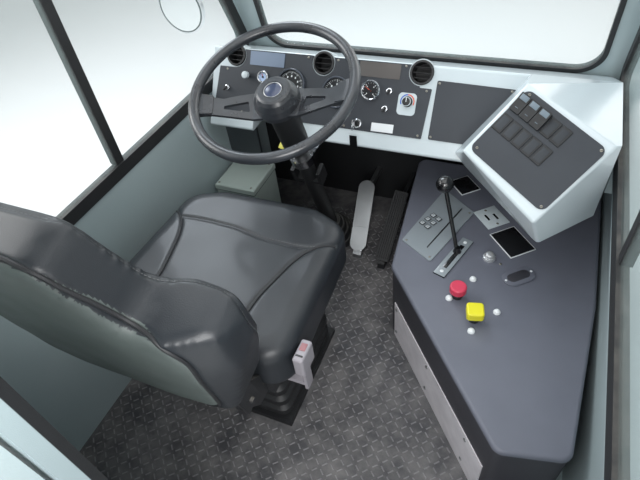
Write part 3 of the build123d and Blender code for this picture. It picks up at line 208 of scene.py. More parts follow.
# Dust that settles on what faces up
dust, dust_in, dust_out = effect(
    "dust", {"Colour": ("NodeSocketColor", (1, 1, 1, 1)), "Dust": ("NodeSocketColor", linear(150, 145, 136)),
             "Amount": ("NodeSocketFloat", 0.4), "Scale": ("NodeSocketFloat", 14.0)},
    {"Colour": "NodeSocketColor", "Mask": "NodeSocketFloat"})
facing = dust.nodes.new("ShaderNodeNewGeometry")
upward = dust.nodes.new("ShaderNodeSeparateXYZ")
dust.links.new(facing.outputs["Normal"], upward.inputs[0])
dust_cover = dust.nodes.new("ShaderNodeMath")
dust_cover.operation = "MULTIPLY"
dust.links.new(steps(dust, upward.outputs["Z"], 0.3, 0.95), dust_cover.inputs[0])
dust.links.new(steps(dust, noise(dust, dust_in.outputs["Scale"], 6.0, 0.65), 0.38, 0.72, 0.0,
                     dust_in.outputs["Amount"]), dust_cover.inputs[1])
dust.links.new(blend_colour(dust, dust_cover.outputs[0], dust_in.outputs["Colour"], dust_in.outputs["Dust"]),
               dust_out.inputs["Colour"])
dust.links.new(dust_cover.outputs[0], dust_out.inputs["Mask"])


def add_effect(material, group, **values):
    """Place an effect in a material, with its own values."""
    node = material.node_tree.nodes.new("ShaderNodeGroup")
    node.node_tree = group
    for label, value in values.items():
        node.inputs[label].default_value = value
    return node


def finish(name, colour, other=None, roughness=0.5, metallic=0.0, coat=0.0, grain_scale=900.0, grain_depth=0.0002,
           drift=0.4, drift_scale=8.0, dusty=0.0, dust_colour=None):
    """A material: drifting colour, fine relief, and dust where asked."""
    material = bpy.data.materials.new(name)
    material.use_nodes = True
    tree = material.node_tree
    shader = tree.nodes["Principled BSDF"]
    shader.inputs["Metallic"].default_value = metallic
    shader.inputs["Coat Weight"].default_value = coat
    shader.inputs["Coat Roughness"].default_value = 0.15
    second = other or tuple(c * 0.82 for c in colour[:3]) + (1.0,)
    cover = add_effect(material, mottle, Colour=colour, Other=second, Scale=drift_scale, Amount=drift)
    paint = cover.outputs["Colour"]
    rough = steps(tree, cover.outputs["Mask"], 0.0, 1.0, roughness, min(1.0, roughness + 0.12))
    if dusty:
        film = add_effect(material, dust, Amount=dusty)
        if dust_colour:
            film.inputs["Dust"].default_value = dust_colour
        tree.links.new(paint, film.inputs["Colour"])
        paint = film.outputs["Colour"]
        rough = steps(tree, film.outputs["Mask"], 0.0, 1.0, rough, 0.95)
    tree.links.new(paint, shader.inputs["Base Color"])
    tree.links.new(rough, shader.inputs["Roughness"])
    if grain_depth:
        relief = add_effect(material, grain, Scale=grain_scale, Depth=grain_depth)
        tree.links.new(relief.outputs["Normal"], shader.inputs["Normal"])
    return material


def dress(material, *names):
    """Give a material to nodes of the frame."""
    for name in names:
        mesh = nodes[name].data
        mesh.materials.clear()
        mesh.materials.append(material)


cab_paint = finish("cab_paint", linear(168, 182, 184), linear(150, 165, 168), roughness=0.38, coat=0.2,
                   grain_scale=260.0, grain_depth=0.0003, drift_scale=3.0)
dress(cab_paint, "left_wall", "right_wall", "rear_wall", "front_wall", "roof", "door_leaf")


# The welded box-section frame under the cab, and the floor pan on it. Both are painted black.
frame_paint = finish("frame_paint", linear(34, 35, 38), linear(52, 52, 53), roughness=0.45, coat=0.1,
                     grain_scale=300.0, grain_depth=0.0004, dusty=0.5)
dress(frame_paint, "base_frame", "floor_pan", "grab_handle", "seat_frame", "seat_back_frame")


# The pivots and pads of the frame: steel bushes pressed into the two front eyes, and plated sleeves
# in the bolt holes of the rear pads. They are turned parts, greased and a little dusty.
def cab(x, y, z):
    """A point in millimetres from the cab's middle, the rear wall's outer face and the mat's top."""
    return Vector((x, y - 797.5, z + 104.0)) / 1000


def stand(point, out, along=(0, 0, 1)):
    """A place at a point, in those millimetres: its z points out and its y lies near a direction."""
    z = Vector(out).normalized()
    x = Vector(along).cross(z).normalized()
    return Matrix.Translation(cab(*point)) @ Matrix((x, z.cross(x), z)).transposed().to_4x4()


def turned(place, profile, segments=24):
    """A turned form: a profile of (radius, height) in millimetres, spun about the z of its place."""
    form = bmesh.new()
    corners = [form.verts.new((r / 1000, 0, h / 1000)) for r, h in profile]
    runs = [form.edges.new(pair) for pair in zip(corners, corners[1:])]
    bmesh.ops.spin(form, geom=corners + runs, cent=(0, 0, 0), axis=(0, 0, 1), angle=2 * math.pi, steps=segments,
                   use_merge=True)
    bmesh.ops.remove_doubles(form, verts=form.verts, dist=1e-6)
    bmesh.ops.recalc_face_normals(form, faces=form.faces)
    form.transform(place)
    return form


def rounded(form, round_by, segments=2):
    """Round every edge of a form by some millimetres."""
    if round_by:
        bmesh.ops.bevel(form, geom=form.edges[:], offset=round_by / 1000, segments=segments, profile=0.5,
                        affect="EDGES", material=-1, clamp_overlap=True)


def bar(place, size, round_by=0.0, segments=2):
    """A block of some size in millimetres, centred on its place, with rounded edges."""
    form = bmesh.new()
    bmesh.ops.create_cube(form, size=0.001)
    form.transform(Matrix.Diagonal(tuple(size) + (1,)))
    rounded(form, round_by, segments)
    form.transform(place)
    return form


def plate(place, outline, low, high, round_by=0.0):
    """A flat outline of (x, y) in millimetres, raised between two heights over its place."""
    form = bmesh.new()
    face = form.faces.new([form.verts.new((x / 1000, y / 1000, low / 1000)) for x, y in outline])
    raised = bmesh.ops.extrude_face_region(form, geom=[face])
    bmesh.ops.translate(form, verts=[v for v in raised["geom"] if isinstance(v, bmesh.types.BMVert)],
                        vec=(0, 0, (high - low) / 1000))
    bmesh.ops.recalc_face_normals(form, faces=form.faces)
    rounded(form, round_by)
    form.transform(place)
    return form


def piece(name, parts, body="cab", sharp=35):
    """One object from pairs of a form and its material, riding on a body."""
    whole = bmesh.new()
    finishes = []
    for form, material in parts:
        if material not in finishes:
            finishes.append(material)
        for face in form.faces:
            face.material_index = finishes.index(material)
            face.smooth = True
        scrap = bpy.data.meshes.new("scrap")
        form.to_mesh(scrap)
        form.free()
        whole.from_mesh(scrap)
        bpy.data.meshes.remove(scrap)
    mesh = bpy.data.meshes.new(name)
    whole.to_mesh(mesh)
    whole.free()
    for material in finishes:
        mesh.materials.append(material)
    mesh.set_sharp_from_angle(angle=math.radians(sharp))
    made = bpy.data.objects.new(name, mesh)
    bpy.context.scene.collection.objects.link(made)
    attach(made, body)
    return made


def moved(place, x=0.0, y=0.0, z=0.0, turn=0.0):
    """A place shifted by millimetres and turned about its z by some degrees."""
    return place @ Matrix.Translation(Vector((x, y, z)) / 1000) @ Matrix.Rotation(math.radians(turn), 4, "Z")


zinc = finish("zinc", linear(150, 148, 140), linear(116, 112, 104), roughness=0.42, metallic=1.0, grain_scale=700.0,
              grain_depth=0.0001, dusty=0.3)
mount_parts = []
for x in (-430.0, 430.0):
    for way in (-1, 1):
        eye = stand((x + way * 40, 1625, -64), (way, 0, 0))
        mount_parts.append((turned(eye, ((15.6, -24), (15.6, 3), (17, 4), (27, 4), (28, 3), (28, 0.2), (12, 0.2),
                                         (12, -24), (15.6, -24)), 32), zinc))
for x in (-445.0, -355.0, 355.0, 445.0):
    hole = stand((x, 30, -104), (0, 0, -1), (0, 1, 0))
    mount_parts.append((turned(hole, ((6.9, -0.2), (6.9, -9), (5.6, -9), (5.6, -0.2), (6.9, -0.2)), 24), zinc))
piece("mount_bushes", mount_parts)


# Black rubber: the mat on the floor and the extruded weatherstrips that hold each pane.
rubber = finish("rubber", linear(32, 33, 35), linear(46, 47, 48), roughness=0.55, grain_scale=1400.0,
                grain_depth=0.00025, dusty=0.25)
dress(rubber, "windscreen_seal", "side_window_seals", "rear_window_seal", "column_boot")
mat_rubber = finish("mat_rubber", linear(66, 66, 69), linear(86, 85, 87), roughness=0.6, grain_scale=900.0,
                    grain_depth=0.0004, drift=0.8, drift_scale=7.0, dusty=0.6, dust_colour=linear(140, 137, 136))
dress(mat_rubber, "floor_mat")


# Raised bars of the mat: short ribs moulded across each other in rows, worn grey on their tops
# by boots. They stop where the seat, the console and the relay box stand.
mat_worn = finish("mat_worn", linear(126, 124, 127), linear(92, 90, 93), roughness=0.6, grain_scale=900.0,
                  grain_depth=0.0003, drift=0.7, drift_scale=11.0, dusty=0.5, dust_colour=linear(168, 165, 164))
RIB_PITCH = 22.0
RIB_ROWS, RIB_COLUMNS = 66, 56
rib = bpy.data.meshes.new("rib")
rib_form = bar(Matrix.Identity(4), (17, 4.2, 1.6))
bmesh.ops.scale(rib_form, vec=(0.8, 0.4, 1), verts=[v for v in rib_form.verts if v.co.z > 0])
rib_form.to_mesh(rib)
rib_form.free()
mat_form = bmesh.new()
for row in range(RIB_ROWS):
    for column in range(RIB_COLUMNS):
        x = -606 + column * RIB_PITCH
        y = 50 + row * RIB_PITCH
        beside_seat = -452 < x < -40 and 458 < y < 832
        in_corner = x < -432 and y > 1080
        in_console = y > 1420 or x > 104 + max(0.0, (898 - y) * 0.821) or x > 470
        if beside_seat or in_corner or in_console and y > 430 or y > 1500:
            continue
        turn = Matrix.Rotation(math.radians(45 if (row + column) % 2 else -45), 4, "Z")
        spot = Matrix.Translation(cab(x, y, 0.8)) @ turn
        rib.transform(spot)
        mat_form.from_mesh(rib)
        rib.transform(spot.inverted())
bpy.data.meshes.remove(rib)
piece("mat_ribs", [(mat_form, mat_worn)])


# The doorway's edging: a painted channel, a little darker than the walls, which carries a black
# rubber lip along its inner edge.
def two_tone(material, axis, low, high, colour):
    """Change a material's colour to another one between two places along an axis, in metres."""
    tree = material.node_tree
    paint = tree.nodes["Principled BSDF"].inputs["Base Color"]
    place = tree.nodes.new("ShaderNodeTexCoord")
    split = tree.nodes.new("ShaderNodeSeparateXYZ")
    tree.links.new(place.outputs["Object"], split.inputs[0])
    past = steps(tree, split.outputs[axis], low, high)
    tree.links.new(blend_colour(tree, past, paint.links[0].from_socket, colour), paint)


doorway_edge = finish("doorway_edge", linear(150, 165, 168), linear(136, 150, 154), roughness=0.42)
two_tone(doorway_edge, "Y", -0.7765, -0.7755, linear(26, 27, 29))
dress(doorway_edge, "doorway_seal")


# The panes: flat laminated and toughened glass with a faint green tint.
glass = bpy.data.materials.new("glass")
glass.use_nodes = True
pane = glass.node_tree.nodes["Principled BSDF"]
pane.inputs["Base Color"].default_value = (0.55, 0.68, 0.66, 1)
pane.inputs["Roughness"].default_value = 0.03
pane.inputs["Alpha"].default_value = 0.16
pane.inputs["IOR"].default_value = 1.5
dress(glass, "windscreen", "side_window_glass", "rear_window_glass", "door_glass")


# Metal trim: door runners, latch, bracket of the column, pedal plate and mirrors.
steel = finish("steel", linear(176, 178, 180), linear(150, 152, 155), roughness=0.32, metallic=1.0,
               grain_scale=500.0, grain_depth=0.0001)
chrome = finish("chrome", linear(214, 216, 220), linear(196, 198, 202), roughness=0.09, metallic=1.0, grain_depth=0.0)
dress(steel, "door_tracks", "brake_treadle")
dress(chrome, "door_latch", "column_bracket", "left_mirror", "right_mirror")


# The dash: one glossy white moulding with black sheet panels screwed on it.
white_gloss = finish("white_gloss", linear(198, 208, 212), linear(182, 194, 199), roughness=0.2, coat=0.4,
                     grain_scale=160.0, grain_depth=0.0003, drift_scale=5.0)
panel_black = finish("panel_black", linear(44, 49, 56), linear(35, 39, 46), roughness=0.5, grain_scale=1500.0,
                     grain_depth=0.00015)
trim_black = finish("trim_black", linear(26, 27, 29), linear(38, 39, 41), roughness=0.5, grain_scale=1100.0,
                    grain_depth=0.0002)
dress(white_gloss, "dash_body", "switch_pod", "heater_control")
dress(panel_black, "instrument_panel", "pod_panel")
dress(trim_black, "dash_vents", "dash_gauges", "dash_switches", "pod_switches", "steering_column",
      "accelerator", "wiper")

# The two strips of small lamps in the panel: smoked plastic lenses, pressed into their slots. The
# left one is a pale blue-grey, which is partly a painted reflection of the sky on its face, and the
# right one brown-grey.
lens = finish("lens", linear(116, 130, 150), linear(98, 112, 132), roughness=0.2, coat=0.5, grain_depth=0.0)
two_tone(lens, "X", -0.2, -0.15, linear(92, 88, 86))
dress(lens, "lamp_strips")


# Faces of the gauges behind their bezels: printed black discs with white marks, a pale blue one
# for the small gauge, and thin orange pointers under small black caps.
def on_dash(x, down, out=3.0):
    """A place over the dash's sloping face: its z points at the driver and its y up the slope."""
    slope = math.radians(58)
    face_up = Vector((0, math.cos(slope), math.sin(slope)))
    face_out = Vector((0, -math.sin(slope), math.cos(slope)))
    foot = Vector((x, 1289, 740)) - face_up * down + face_out * out
    return Matrix.Translation(cab(*foot)) @ Matrix((Vector((1, 0, 0)), face_up, face_out)).transposed().to_4x4()


dial_black = finish("dial_black", linear(22, 24, 28), linear(32, 34, 38), roughness=0.3, grain_depth=0.0)
dial_blue = finish("dial_blue", linear(186, 206, 238), linear(160, 184, 224), roughness=0.25, grain_depth=0.0)
dial_white = finish("dial_white", linear(226, 230, 232), linear(206, 210, 212), roughness=0.4, grain_depth=0.0)
pointer_red = finish("pointer_red", linear(214, 84, 52), linear(196, 70, 44), roughness=0.4, grain_depth=0.0)
arc_blue = finish("arc_blue", linear(48, 92, 190), linear(40, 80, 170), roughness=0.4, grain_depth=0.0)
DIAL_START, DIAL_SWEEP = 225, 270
dial_parts = []
for x, down, radius, face, marks, every, needle in ((-310, 94, 41.5, dial_black, 41, 5, 212),
                                                    (-156, 103, 41.5, dial_black, 31, 5, 205),
                                                    (-50, 86, 24.2, dial_black, 13, 4, 150),
                                                    (-411, 82, 13.7, dial_blue, 9, 4, 110)):
    dial = on_dash(x, down, 0)
    dial_parts.append((turned(dial, ((0, 5.6), (radius, 5.6), (radius, 4.9), (0, 4.9)), 48), face))
    ink = dial_black if face is dial_blue else dial_white
    for mark in range(marks):
        long_one = mark % every == 0
        length = radius * (0.2 if long_one else 0.11)
        spoke = moved(dial, turn=DIAL_START - mark * DIAL_SWEEP / (marks - 1))
        dial_parts.append((bar(moved(spoke, x=radius * 0.93 - length / 2, z=5.7),
                               (length, 1.5 if long_one else 0.8, 0.3)), ink))
    if radius > 20:
        for mark in range(0, marks, every):
            around = DIAL_START - mark * DIAL_SWEEP / (marks - 1)
            figure = moved(moved(moved(dial, turn=around), x=radius * 0.58, z=5.7), turn=-around)
            dial_parts.append((bar(figure, (radius * 0.1, radius * 0.14, 0.2)), ink))
    pointer = moved(dial, turn=needle)
    dial_parts.append((plate(pointer, ((-radius * 0.16, -1.4), (-radius * 0.16, 1.4), (radius * 0.78, 0.4),
                                       (radius * 0.78, -0.4)), 7, 7.8), pointer_red))
    dial_parts.append((turned(dial, ((0, 9), (2.2, 9), (3, 8.2), (3, 5.5), (0, 5.5))), dial_black))
piece("gauge_dials", dial_parts)


# Bezels: spun rings pressed over each gauge. The two small gauges have chromed ones.
bezel_dark = finish("bezel_dark", linear(70, 76, 86), linear(52, 57, 66), roughness=0.22, coat=0.4, grain_depth=0.0)
ring_parts = []
for x, down, radius, metal in ((-310, 94, 47.0, bezel_dark), (-156, 103, 47.0, bezel_dark), (-50, 86, 29.5, chrome),
                               (-411, 82, 19.0, chrome)):
    ring_parts.append((turned(on_dash(x, down, 0), ((radius + 0.6, 3), (radius + 0.6, 9.4), (radius - 1.6, 12),
                                                    (radius - 3.2, 12), (radius - 5.2, 10.4), (radius - 5.2, 5.7),
                                                    (radius - 5.6, 5.7), (radius - 5.6, 3), (radius + 0.6, 3)), 56),
                       metal))
piece("gauge_bezels", ring_parts)


# Round-headed screws with plain slots, turned from plated steel. They hold the black panels to
# the white moulding.
def screw(place, radius=3.6):
    """A low domed screw head; its slot is a bar laid over it."""
    return turned(place, ((0, 1.9), (radius * 0.35, 1.85), (radius * 0.75, 1.4), (radius, 0.5), (radius, -0.4),
                          (0, -0.4)), 16)


screw_black = finish("screw_black", linear(30, 31, 34), linear(44, 45, 48), roughness=0.3, metallic=0.6,
                     grain_depth=0.0)
screw_parts = []
for x, down in ((-260, 10), (-162, 10), (47, 9), (116, 71), (111, 198), (-119, 198), (149, 47), (149, 196), (345, 49),
                (256, 192), (-552, 198), (-480, 198), (-545, 68)):
    screw_parts.append((screw(on_dash(x, down)), zinc))
    screw_parts.append((bar(moved(on_dash(x, down, 4.7), turn=30), (4.6, 0.9, 0.7)), screw_black))
piece("dash_screws", screw_parts)


# Small things on the dash: the light switch's pale cap, the toggles' plated nuts, the heater's
# moulded knob over its printed arc, the blank label, and the key with its ring and black tag.
control_parts = []
cap_place = on_dash(-467, 82, 0)
pale_cap = finish("pale_cap", linear(196, 206, 210), linear(176, 186, 190), roughness=0.3, grain_depth=0.0)
control_parts.append((turned(cap_place, ((0, 28.2), (7, 28), (10.6, 26.6), (11.6, 24), (11.6, 15.2), (9, 15.2),
                                         (9, 14), (0, 14)), 32), pale_cap))
for x, down in ((-541, 127), (8, 82), (2, 133)):
    nut = on_dash(x, down, 0)
    control_parts.append((turned(nut, ((0, 8.2), (7.6, 8.2), (9.4, 7.2), (9.4, 3), (0, 3)), 6), chrome))
    control_parts.append((turned(nut, ((6.2, 7), (6.2, 10.6), (5.7, 11), (0, 11)), 20), chrome))
heater = on_dash(66, 106, 0)
control_parts.append((turned(heater, ((0, 24.5), (8, 24.4), (11.4, 23.4), (12.6, 21.4), (13.6, 8), (15.5, 6.6),
                                      (15.5, 6.1), (0, 6.1)), 32), trim_black))
control_parts.append((bar(moved(heater, y=5, z=24.4), (1.8, 13, 1.2), 0.4), dial_white))
ARC_STEPS = 20
for step_at in range(ARC_STEPS):
    tint = arc_blue if step_at < ARC_STEPS / 2 else pointer_red
    spoke = moved(heater, turn=200 - step_at * 11.5)
    control_parts.append((bar(moved(spoke, x=19.5, z=6.2), (3.2, 4.2, 0.4)), tint))
control_parts.append((plate(on_dash(2, 189, 0), ((-34, -13), (34, -12), (34, 13), (-34, 12)), 3.05, 3.6),
                      dial_white))
lock = on_dash(-76, 186, 0)
control_parts.append((turned(lock, ((14.4, 3), (14.4, 9), (12.6, 10.6), (9.6, 10.6), (9.6, 8), (14.4, 3)), 32),
                      chrome))
control_parts.append((bar(moved(lock, z=44), (2.4, 22, 22), 1.0), steel))
ring_end = on_dash(-76, 196, 48)
control_parts.append((turned(ring_end @ Matrix.Rotation(math.radians(90), 4, "Y"),
                             ((9.4, 0), (10.2, 0.8), (11, 0), (10.2, -0.8), (9.4, 0)), 28), chrome))
control_parts.append((bar(stand((-76, 1144, 548), (0, -1, 0)), (24, 42, 2.2), 1.0), screw_black))
piece("dash_details", control_parts)


# The pod's switches: moulded black rockers in the first three places, coloured pale grey-blue all over as a
# painted highlight of the light on them, dark blanks in the others, and the four screws that hold the black
# plate to the white pod.
pod_across = Vector((0.823, -0.498, -0.273)).normalized()
pod_out = Vector((-0.136, -0.639, 0.757)).normalized()
pod_face = (Matrix.Translation(cab(386, 1108, 796))
            @ Matrix((pod_across, pod_out.cross(pod_across), pod_out)).transposed().to_4x4())
# The rockers are black; their pale grey-blue colour is a painted highlight.
rocker_painted_highlight = finish("rocker_painted_highlight", linear(112, 126, 136), linear(92, 106, 116), roughness=0.3, grain_depth=0.0)
rocker_blank = finish("rocker_blank", linear(40, 45, 51), linear(31, 36, 41), roughness=0.55, grain_depth=0.0)
ROCKER_X, ROCKER_Y = 16, -38
ROCKER_PITCH, ROCKER_ROW = 30, 57
pod_parts = []
for column in range(3):
    x = ROCKER_X + column * ROCKER_PITCH
    top = moved(pod_face, x=x, y=ROCKER_Y + 13.6, z=17.6) @ Matrix.Rotation(math.radians(17), 4, "X")
    pod_parts.append((bar(top, (21, 13, 1.4), 0.5), rocker_painted_highlight))
    low = moved(pod_face, x=x, y=ROCKER_Y - 12, z=13.0) @ Matrix.Rotation(math.radians(6), 4, "X")
    pod_parts.append((bar(low, (8, 1.6, 1.2), 0.3), rocker_painted_highlight))
for row in range(2):
    for column in range(5):
        if row == 1 or column > 2:
            spot = moved(pod_face, x=ROCKER_X + column * ROCKER_PITCH, y=ROCKER_Y - row * ROCKER_ROW, z=5.7)
            pod_parts.append((bar(spot, (19, 34, 0.8), 0.3), rocker_blank))
for x, y in ((14, -9), (220, -9), (220, -178), (14, -174)):
    pod_parts.append((screw(moved(pod_face, x, y, 3.0)), zinc))
    pod_parts.append((bar(moved(pod_face, x, y, 4.7, turn=40), (4.6, 0.9, 0.7)), screw_black))
piece("pod_details", pod_parts)


# The steering wheel's blank centre disc, set in the hub's recess, and a thin bright ring round it.
# The wheel is moulded over a steel core; its skin is smooth, and shiny where hands hold it.
wheel_black = finish("wheel_black", linear(40, 42, 46), linear(58, 62, 68), roughness=0.26, coat=0.35,
                     grain_scale=1500.0, grain_depth=0.0001, drift=0.6, drift_scale=14.0)
dress(wheel_black, "steering_wheel")
tilt = math.radians(20)
column_top = stand((-217, 964.5, 804.4), (0, -math.sin(tilt), math.cos(tilt)), (0, math.cos(tilt), math.sin(tilt)))
hub_disc = finish("hub_disc", linear(52, 60, 84), linear(38, 44, 64), roughness=0.18, coat=0.5, grain_depth=0.0)
wheel_parts = [
    (turned(column_top, ((0, -4.6), (18, -5), (22.6, -5.8), (22.6, -7.2), (0, -7.2)), 48), hub_disc),
    (turned(column_top, ((24.8, -7), (24.8, -3.6), (23.9, -3.2), (22.9, -3.8), (22.9, -7), (24.8, -7)), 48), steel)]
piece("wheel_centre", wheel_parts, body="steering_wheel")


# Under the wheel: the seam of the column's moulded shroud, the plated clamp with its bolt block,
# and a blank yellow card tag with a plated eyelet.
shroud_black = finish("shroud_black", linear(24, 25, 28), linear(36, 37, 40), roughness=0.45, grain_scale=900.0,
                      grain_depth=0.0003)
tag_yellow = finish("tag_yellow", linear(206, 200, 84), linear(184, 178, 70), roughness=0.5, grain_depth=0.0)
column_parts = [
    (turned(column_top, ((40.4, -74), (41.4, -76), (41.4, -84), (40.4, -86), (39, -86), (39, -74), (40.4, -74)), 40),
     shroud_black),
    (turned(column_top, ((26.2, -219), (34, -219), (35.4, -221), (35.4, -233), (34, -235), (26.2, -235),
                         (26.2, -219)), 40), chrome),
    (bar(moved(column_top, x=38, z=-227), (12, 12, 14), 1.5), chrome)]
tag_place = stand((-274, 1073, 552), (-0.1, -0.72, 0.69), (0.2, 0.6, 0.7))
column_parts.append((bar(tag_place, (34, 34, 0.9), 0.4), tag_yellow))
column_parts.append((turned(moved(tag_place, y=13, z=0.2), ((3.6, -0.8), (5.4, -0.8), (5.4, 0.8), (3.6, 0.8),
                                                            (3.6, -0.8)), 20), chrome))
piece("column_details", column_parts)


# Beside the driver's feet: the grey relay box and kick panel.
panel_grey = finish("panel_grey", linear(186, 198, 192), linear(166, 180, 174), roughness=0.5)
dress(panel_grey, "relay_box")
kick_grey = finish("kick_grey", linear(62, 68, 72), linear(50, 55, 60), roughness=0.5)
dress(kick_grey, "kick_panel")
dress(trim_black, "firewall_liner")


# The relay box's lid is a folded sheet, and four plain screws hold it down. The black band that
# runs round the box under the lid is painted shade, for the shaded gap around the box.
# This black band is painted shade in the gap round the box.
corner_parts = [(bar(stand((-528, 1178.5, 287.5), (0, 0, 1), (0, 1, 0)), (164, 174, 5), 1.5), trim_black)]
for x in (-594, -462):
    for y in (1104, 1250):
        corner_parts.append((screw(stand((x, y, 312), (0, 0, 1), (0, 1, 0)), 4.5), zinc))
piece("relay_box_shade_band_and_screws", corner_parts)


# The console: a padded grey top on dark sides, with a pale sheet metal skirt riveted along its
# foot. The knobs of the two air valves are moulded red and yellow plastic.
console_grey = finish("console_grey", linear(104, 107, 118), linear(90, 93, 104), roughness=0.45, grain_scale=700.0,
                      grain_depth=0.0003)
console_dark_and_cup_shade = finish("console_dark_and_cup_shade", linear(56, 56, 62), linear(44, 44, 50), roughness=0.5)
skirt_metal = finish("skirt_metal", linear(222, 218, 222), linear(196, 192, 197), roughness=0.42,
                     drift=0.7, drift_scale=16.0, dusty=0.3)
knob_red = finish("knob_red", linear(206, 62, 88), linear(184, 50, 76), roughness=0.35, grain_depth=0.0)
knob_yellow = finish("knob_yellow", linear(224, 216, 40), linear(200, 190, 30), roughness=0.35, grain_depth=0.0)
dress(console_grey, "console_cover", "console_fittings")
dress(console_dark_and_cup_shade, "console_body")
dress(skirt_metal, "console_skirt")
dress(knob_red, "park_knob")
dress(knob_yellow, "trailer_knob")


# On the console: blank black plaques edged in white, a pale socket plate, a bright push button, an
# oval finger cup whose hollow is painted shade, white caps over the lid's screws, and black ribbed
# boots under the air knobs.
def on_console(x, y, turn=0.0, up=0.0):
    """A place on the console's lid, turned about the upright."""
    return moved(stand((x, y, 312 + up), (0, 0, 1), (0, 1, 0)), turn=turn)


plaque_black = finish("plaque_black", linear(22, 22, 24), linear(30, 30, 33), roughness=0.25, coat=0.3,
                      grain_depth=0.0)
bright_metal = finish("bright_metal", linear(206, 208, 210), linear(180, 182, 185), roughness=0.28, metallic=0.55,
                      grain_scale=600.0, grain_depth=0.0001)
gloss_black = finish("gloss_black", linear(16, 16, 18), linear(24, 24, 27), roughness=0.12, coat=0.6,
                     grain_depth=0.0)
dress(gloss_black, "shift_lever")
lid_parts = []
for x, y, length, width in ((247, 1315, 81, 70), (430, 1092, 108, 84)):
    place = on_console(x, y, -48)
    lid_parts.append((bar(moved(place, z=1.3), (length + 0.6, width + 0.6, 2.4), 0.5), dial_white))
    lid_parts.append((bar(moved(place, z=2.3), (length - 4.5, width - 4.5, 1.2), 0.4), plaque_black))
socket = on_console(355, 1182, -48)
lid_parts.append((bar(moved(socket, z=1.3), (85.6, 74.6, 2.6), 0.7), pale_cap))
for way in (-1, 1):
    lid_parts.append((bar(moved(socket, x=way * 3, y=way * 13, z=2.4), (26, 7, 0.9), 0.2), gloss_black))
    lid_parts.append((screw(moved(socket, x=way * 33, z=2.5), 4.0), zinc))
for x, y in ((349, 915), (301, 829), (428, 821), (377, 741)):
    lid_parts.append((turned(on_console(x, y), ((0, 9.8), (3.6, 9.2), (7, 7), (9.2, 3.6), (9.6, 0.1), (0, 0.1)), 28),
                      dial_white))
push = on_console(377, 1008)
lid_parts.append((turned(push, ((0, 20.4), (7, 20), (11, 18.4), (12.6, 16), (12.6, 9), (14.6, 8.9), (17.6, 7.4),
                                (17.8, 0.1), (0, 0.1)), 36), bright_metal))
lid_parts.append((screw(on_console(411, 995), 4.0), zinc))
cup_outline = [(29 * math.copysign(1, math.cos(a)) + 25 * math.cos(a), 25 * math.sin(a))
               for a in [math.radians(7.5 + 15 * k) for k in range(24)]]
cup = on_console(464, 961, 42)
lid_parts.append((plate(cup, [(x * 0.88, y) for x, y in cup_outline], 4.02, 5.0, 0.4), console_grey))
# The cup's hollow is not cut: this darker oval laid over its middle is painted shade.
lid_parts.append((plate(cup, [(x * 0.62, y * 0.6) for x, y in cup_outline], 4.6, 5.3, 0.3), console_dark_and_cup_shade))
for way in (-1, 1):
    lid_parts.append((screw(moved(cup, x=way * 40, z=5.0), 3.4), dial_white))
for x, y in ((320, 843), (376, 780)):
    lid_parts.append((turned(on_console(x, y), ((0, 22), (9.8, 22), (11.4, 19.6), (9.8, 17.4), (12.2, 14.8),
                                                (10.4, 12.4), (13, 9.6), (13.9, 7), (13.9, 0.1), (0, 0.1)), 32),
                      shroud_black))
piece("console_lid_details", lid_parts)


# The shift pad's six keys in dark surrounds, its corner screws and its dark rail, and the lever's
# gate: a pale metal plate with a dark slot and two white screws.
key_grey = finish("key_grey", linear(186, 192, 196), linear(164, 171, 176), roughness=0.35, grain_depth=0.0)
pad_grey = finish("pad_grey", linear(140, 148, 153), linear(122, 130, 136), roughness=0.34, coat=0.2,
                  grain_scale=800.0, grain_depth=0.0001)
dress(pad_grey, "shift_pad")
pad_parts = []
for x, y in ((160, 1092), (180, 1079), (172, 1113), (192, 1100), (184, 1134), (204, 1121)):
    pad_parts.append((bar(on_console(x, y, 57, 8.3), (16.4, 16.4, 1.2), 0.4), plaque_black))
    pad_parts.append((bar(on_console(x, y, 57, 8.9), (12.2, 12.2, 2.4), 0.8), key_grey))
    pad_parts.append((bar(on_console(x, y, 57, 10.1), (5, 1.2, 0.5), 0.1), plaque_black))
for x, y in ((132, 1008), (215, 960), (288, 1180), (196, 1254)):
    pad_parts.append((screw(on_console(x, y, 0, 4), 3.6), zinc))
for x, y in ((301, 1046), (261, 916)):
    pad_parts.append((screw(on_console(x, y, 0, 5.3), 5.4), dial_white))
pad_parts.append((bar(on_console(230, 1094, -17.5, 4.4), (3.2, 206, 3.0), 0.6), plaque_black))
gate = on_console(281, 981, -17.5, 4)
pad_parts.append((bar(moved(gate, z=0.6), (35, 169, 1.4), 0.5), pad_grey))
pad_parts.append((bar(moved(gate, z=1.0), (13, 106, 1.2), 0.4), gloss_black))
piece("shift_details", pad_parts)


# Domed steel rivets through the skirt into the console's side, one above the other at three
# places along it.
rivet_parts = []
for share in (0.07, 0.44, 0.82):
    for z in (30, 146):
        x, y = 117 + 367 * share, 898 - 447 * share
        rivet = stand((x + 0.77, y + 0.63, z), (-0.773, -0.635, 0))
        rivet_parts.append((turned(rivet, ((0, 3), (2.6, 2.7), (4.8, 1.7), (6, 0), (0, 0)), 16), steel))
piece("skirt_rivets", rivet_parts)


# The driver's seat: black vinyl sewn over foam pads, on a pressed frame and a base with a black
# bellows.
vinyl = finish("vinyl", linear(34, 38, 43), linear(26, 29, 34), roughness=0.42, coat=0.15, grain_scale=520.0,
               grain_depth=0.0004)
dress(trim_black, "seat_base")


def applied(thing):
    """Turn an object's modifiers into its mesh."""
    shown = thing.evaluated_get(bpy.context.evaluated_depsgraph_get())
    mesh = bpy.data.meshes.new_from_object(shown)
    thing.modifiers.clear()
    plain = thing.data
    thing.data = mesh
    bpy.data.meshes.remove(plain)


CLOTH_FRAMES = 20
EVEN_ROUNDS = 30
COVER = 0.004


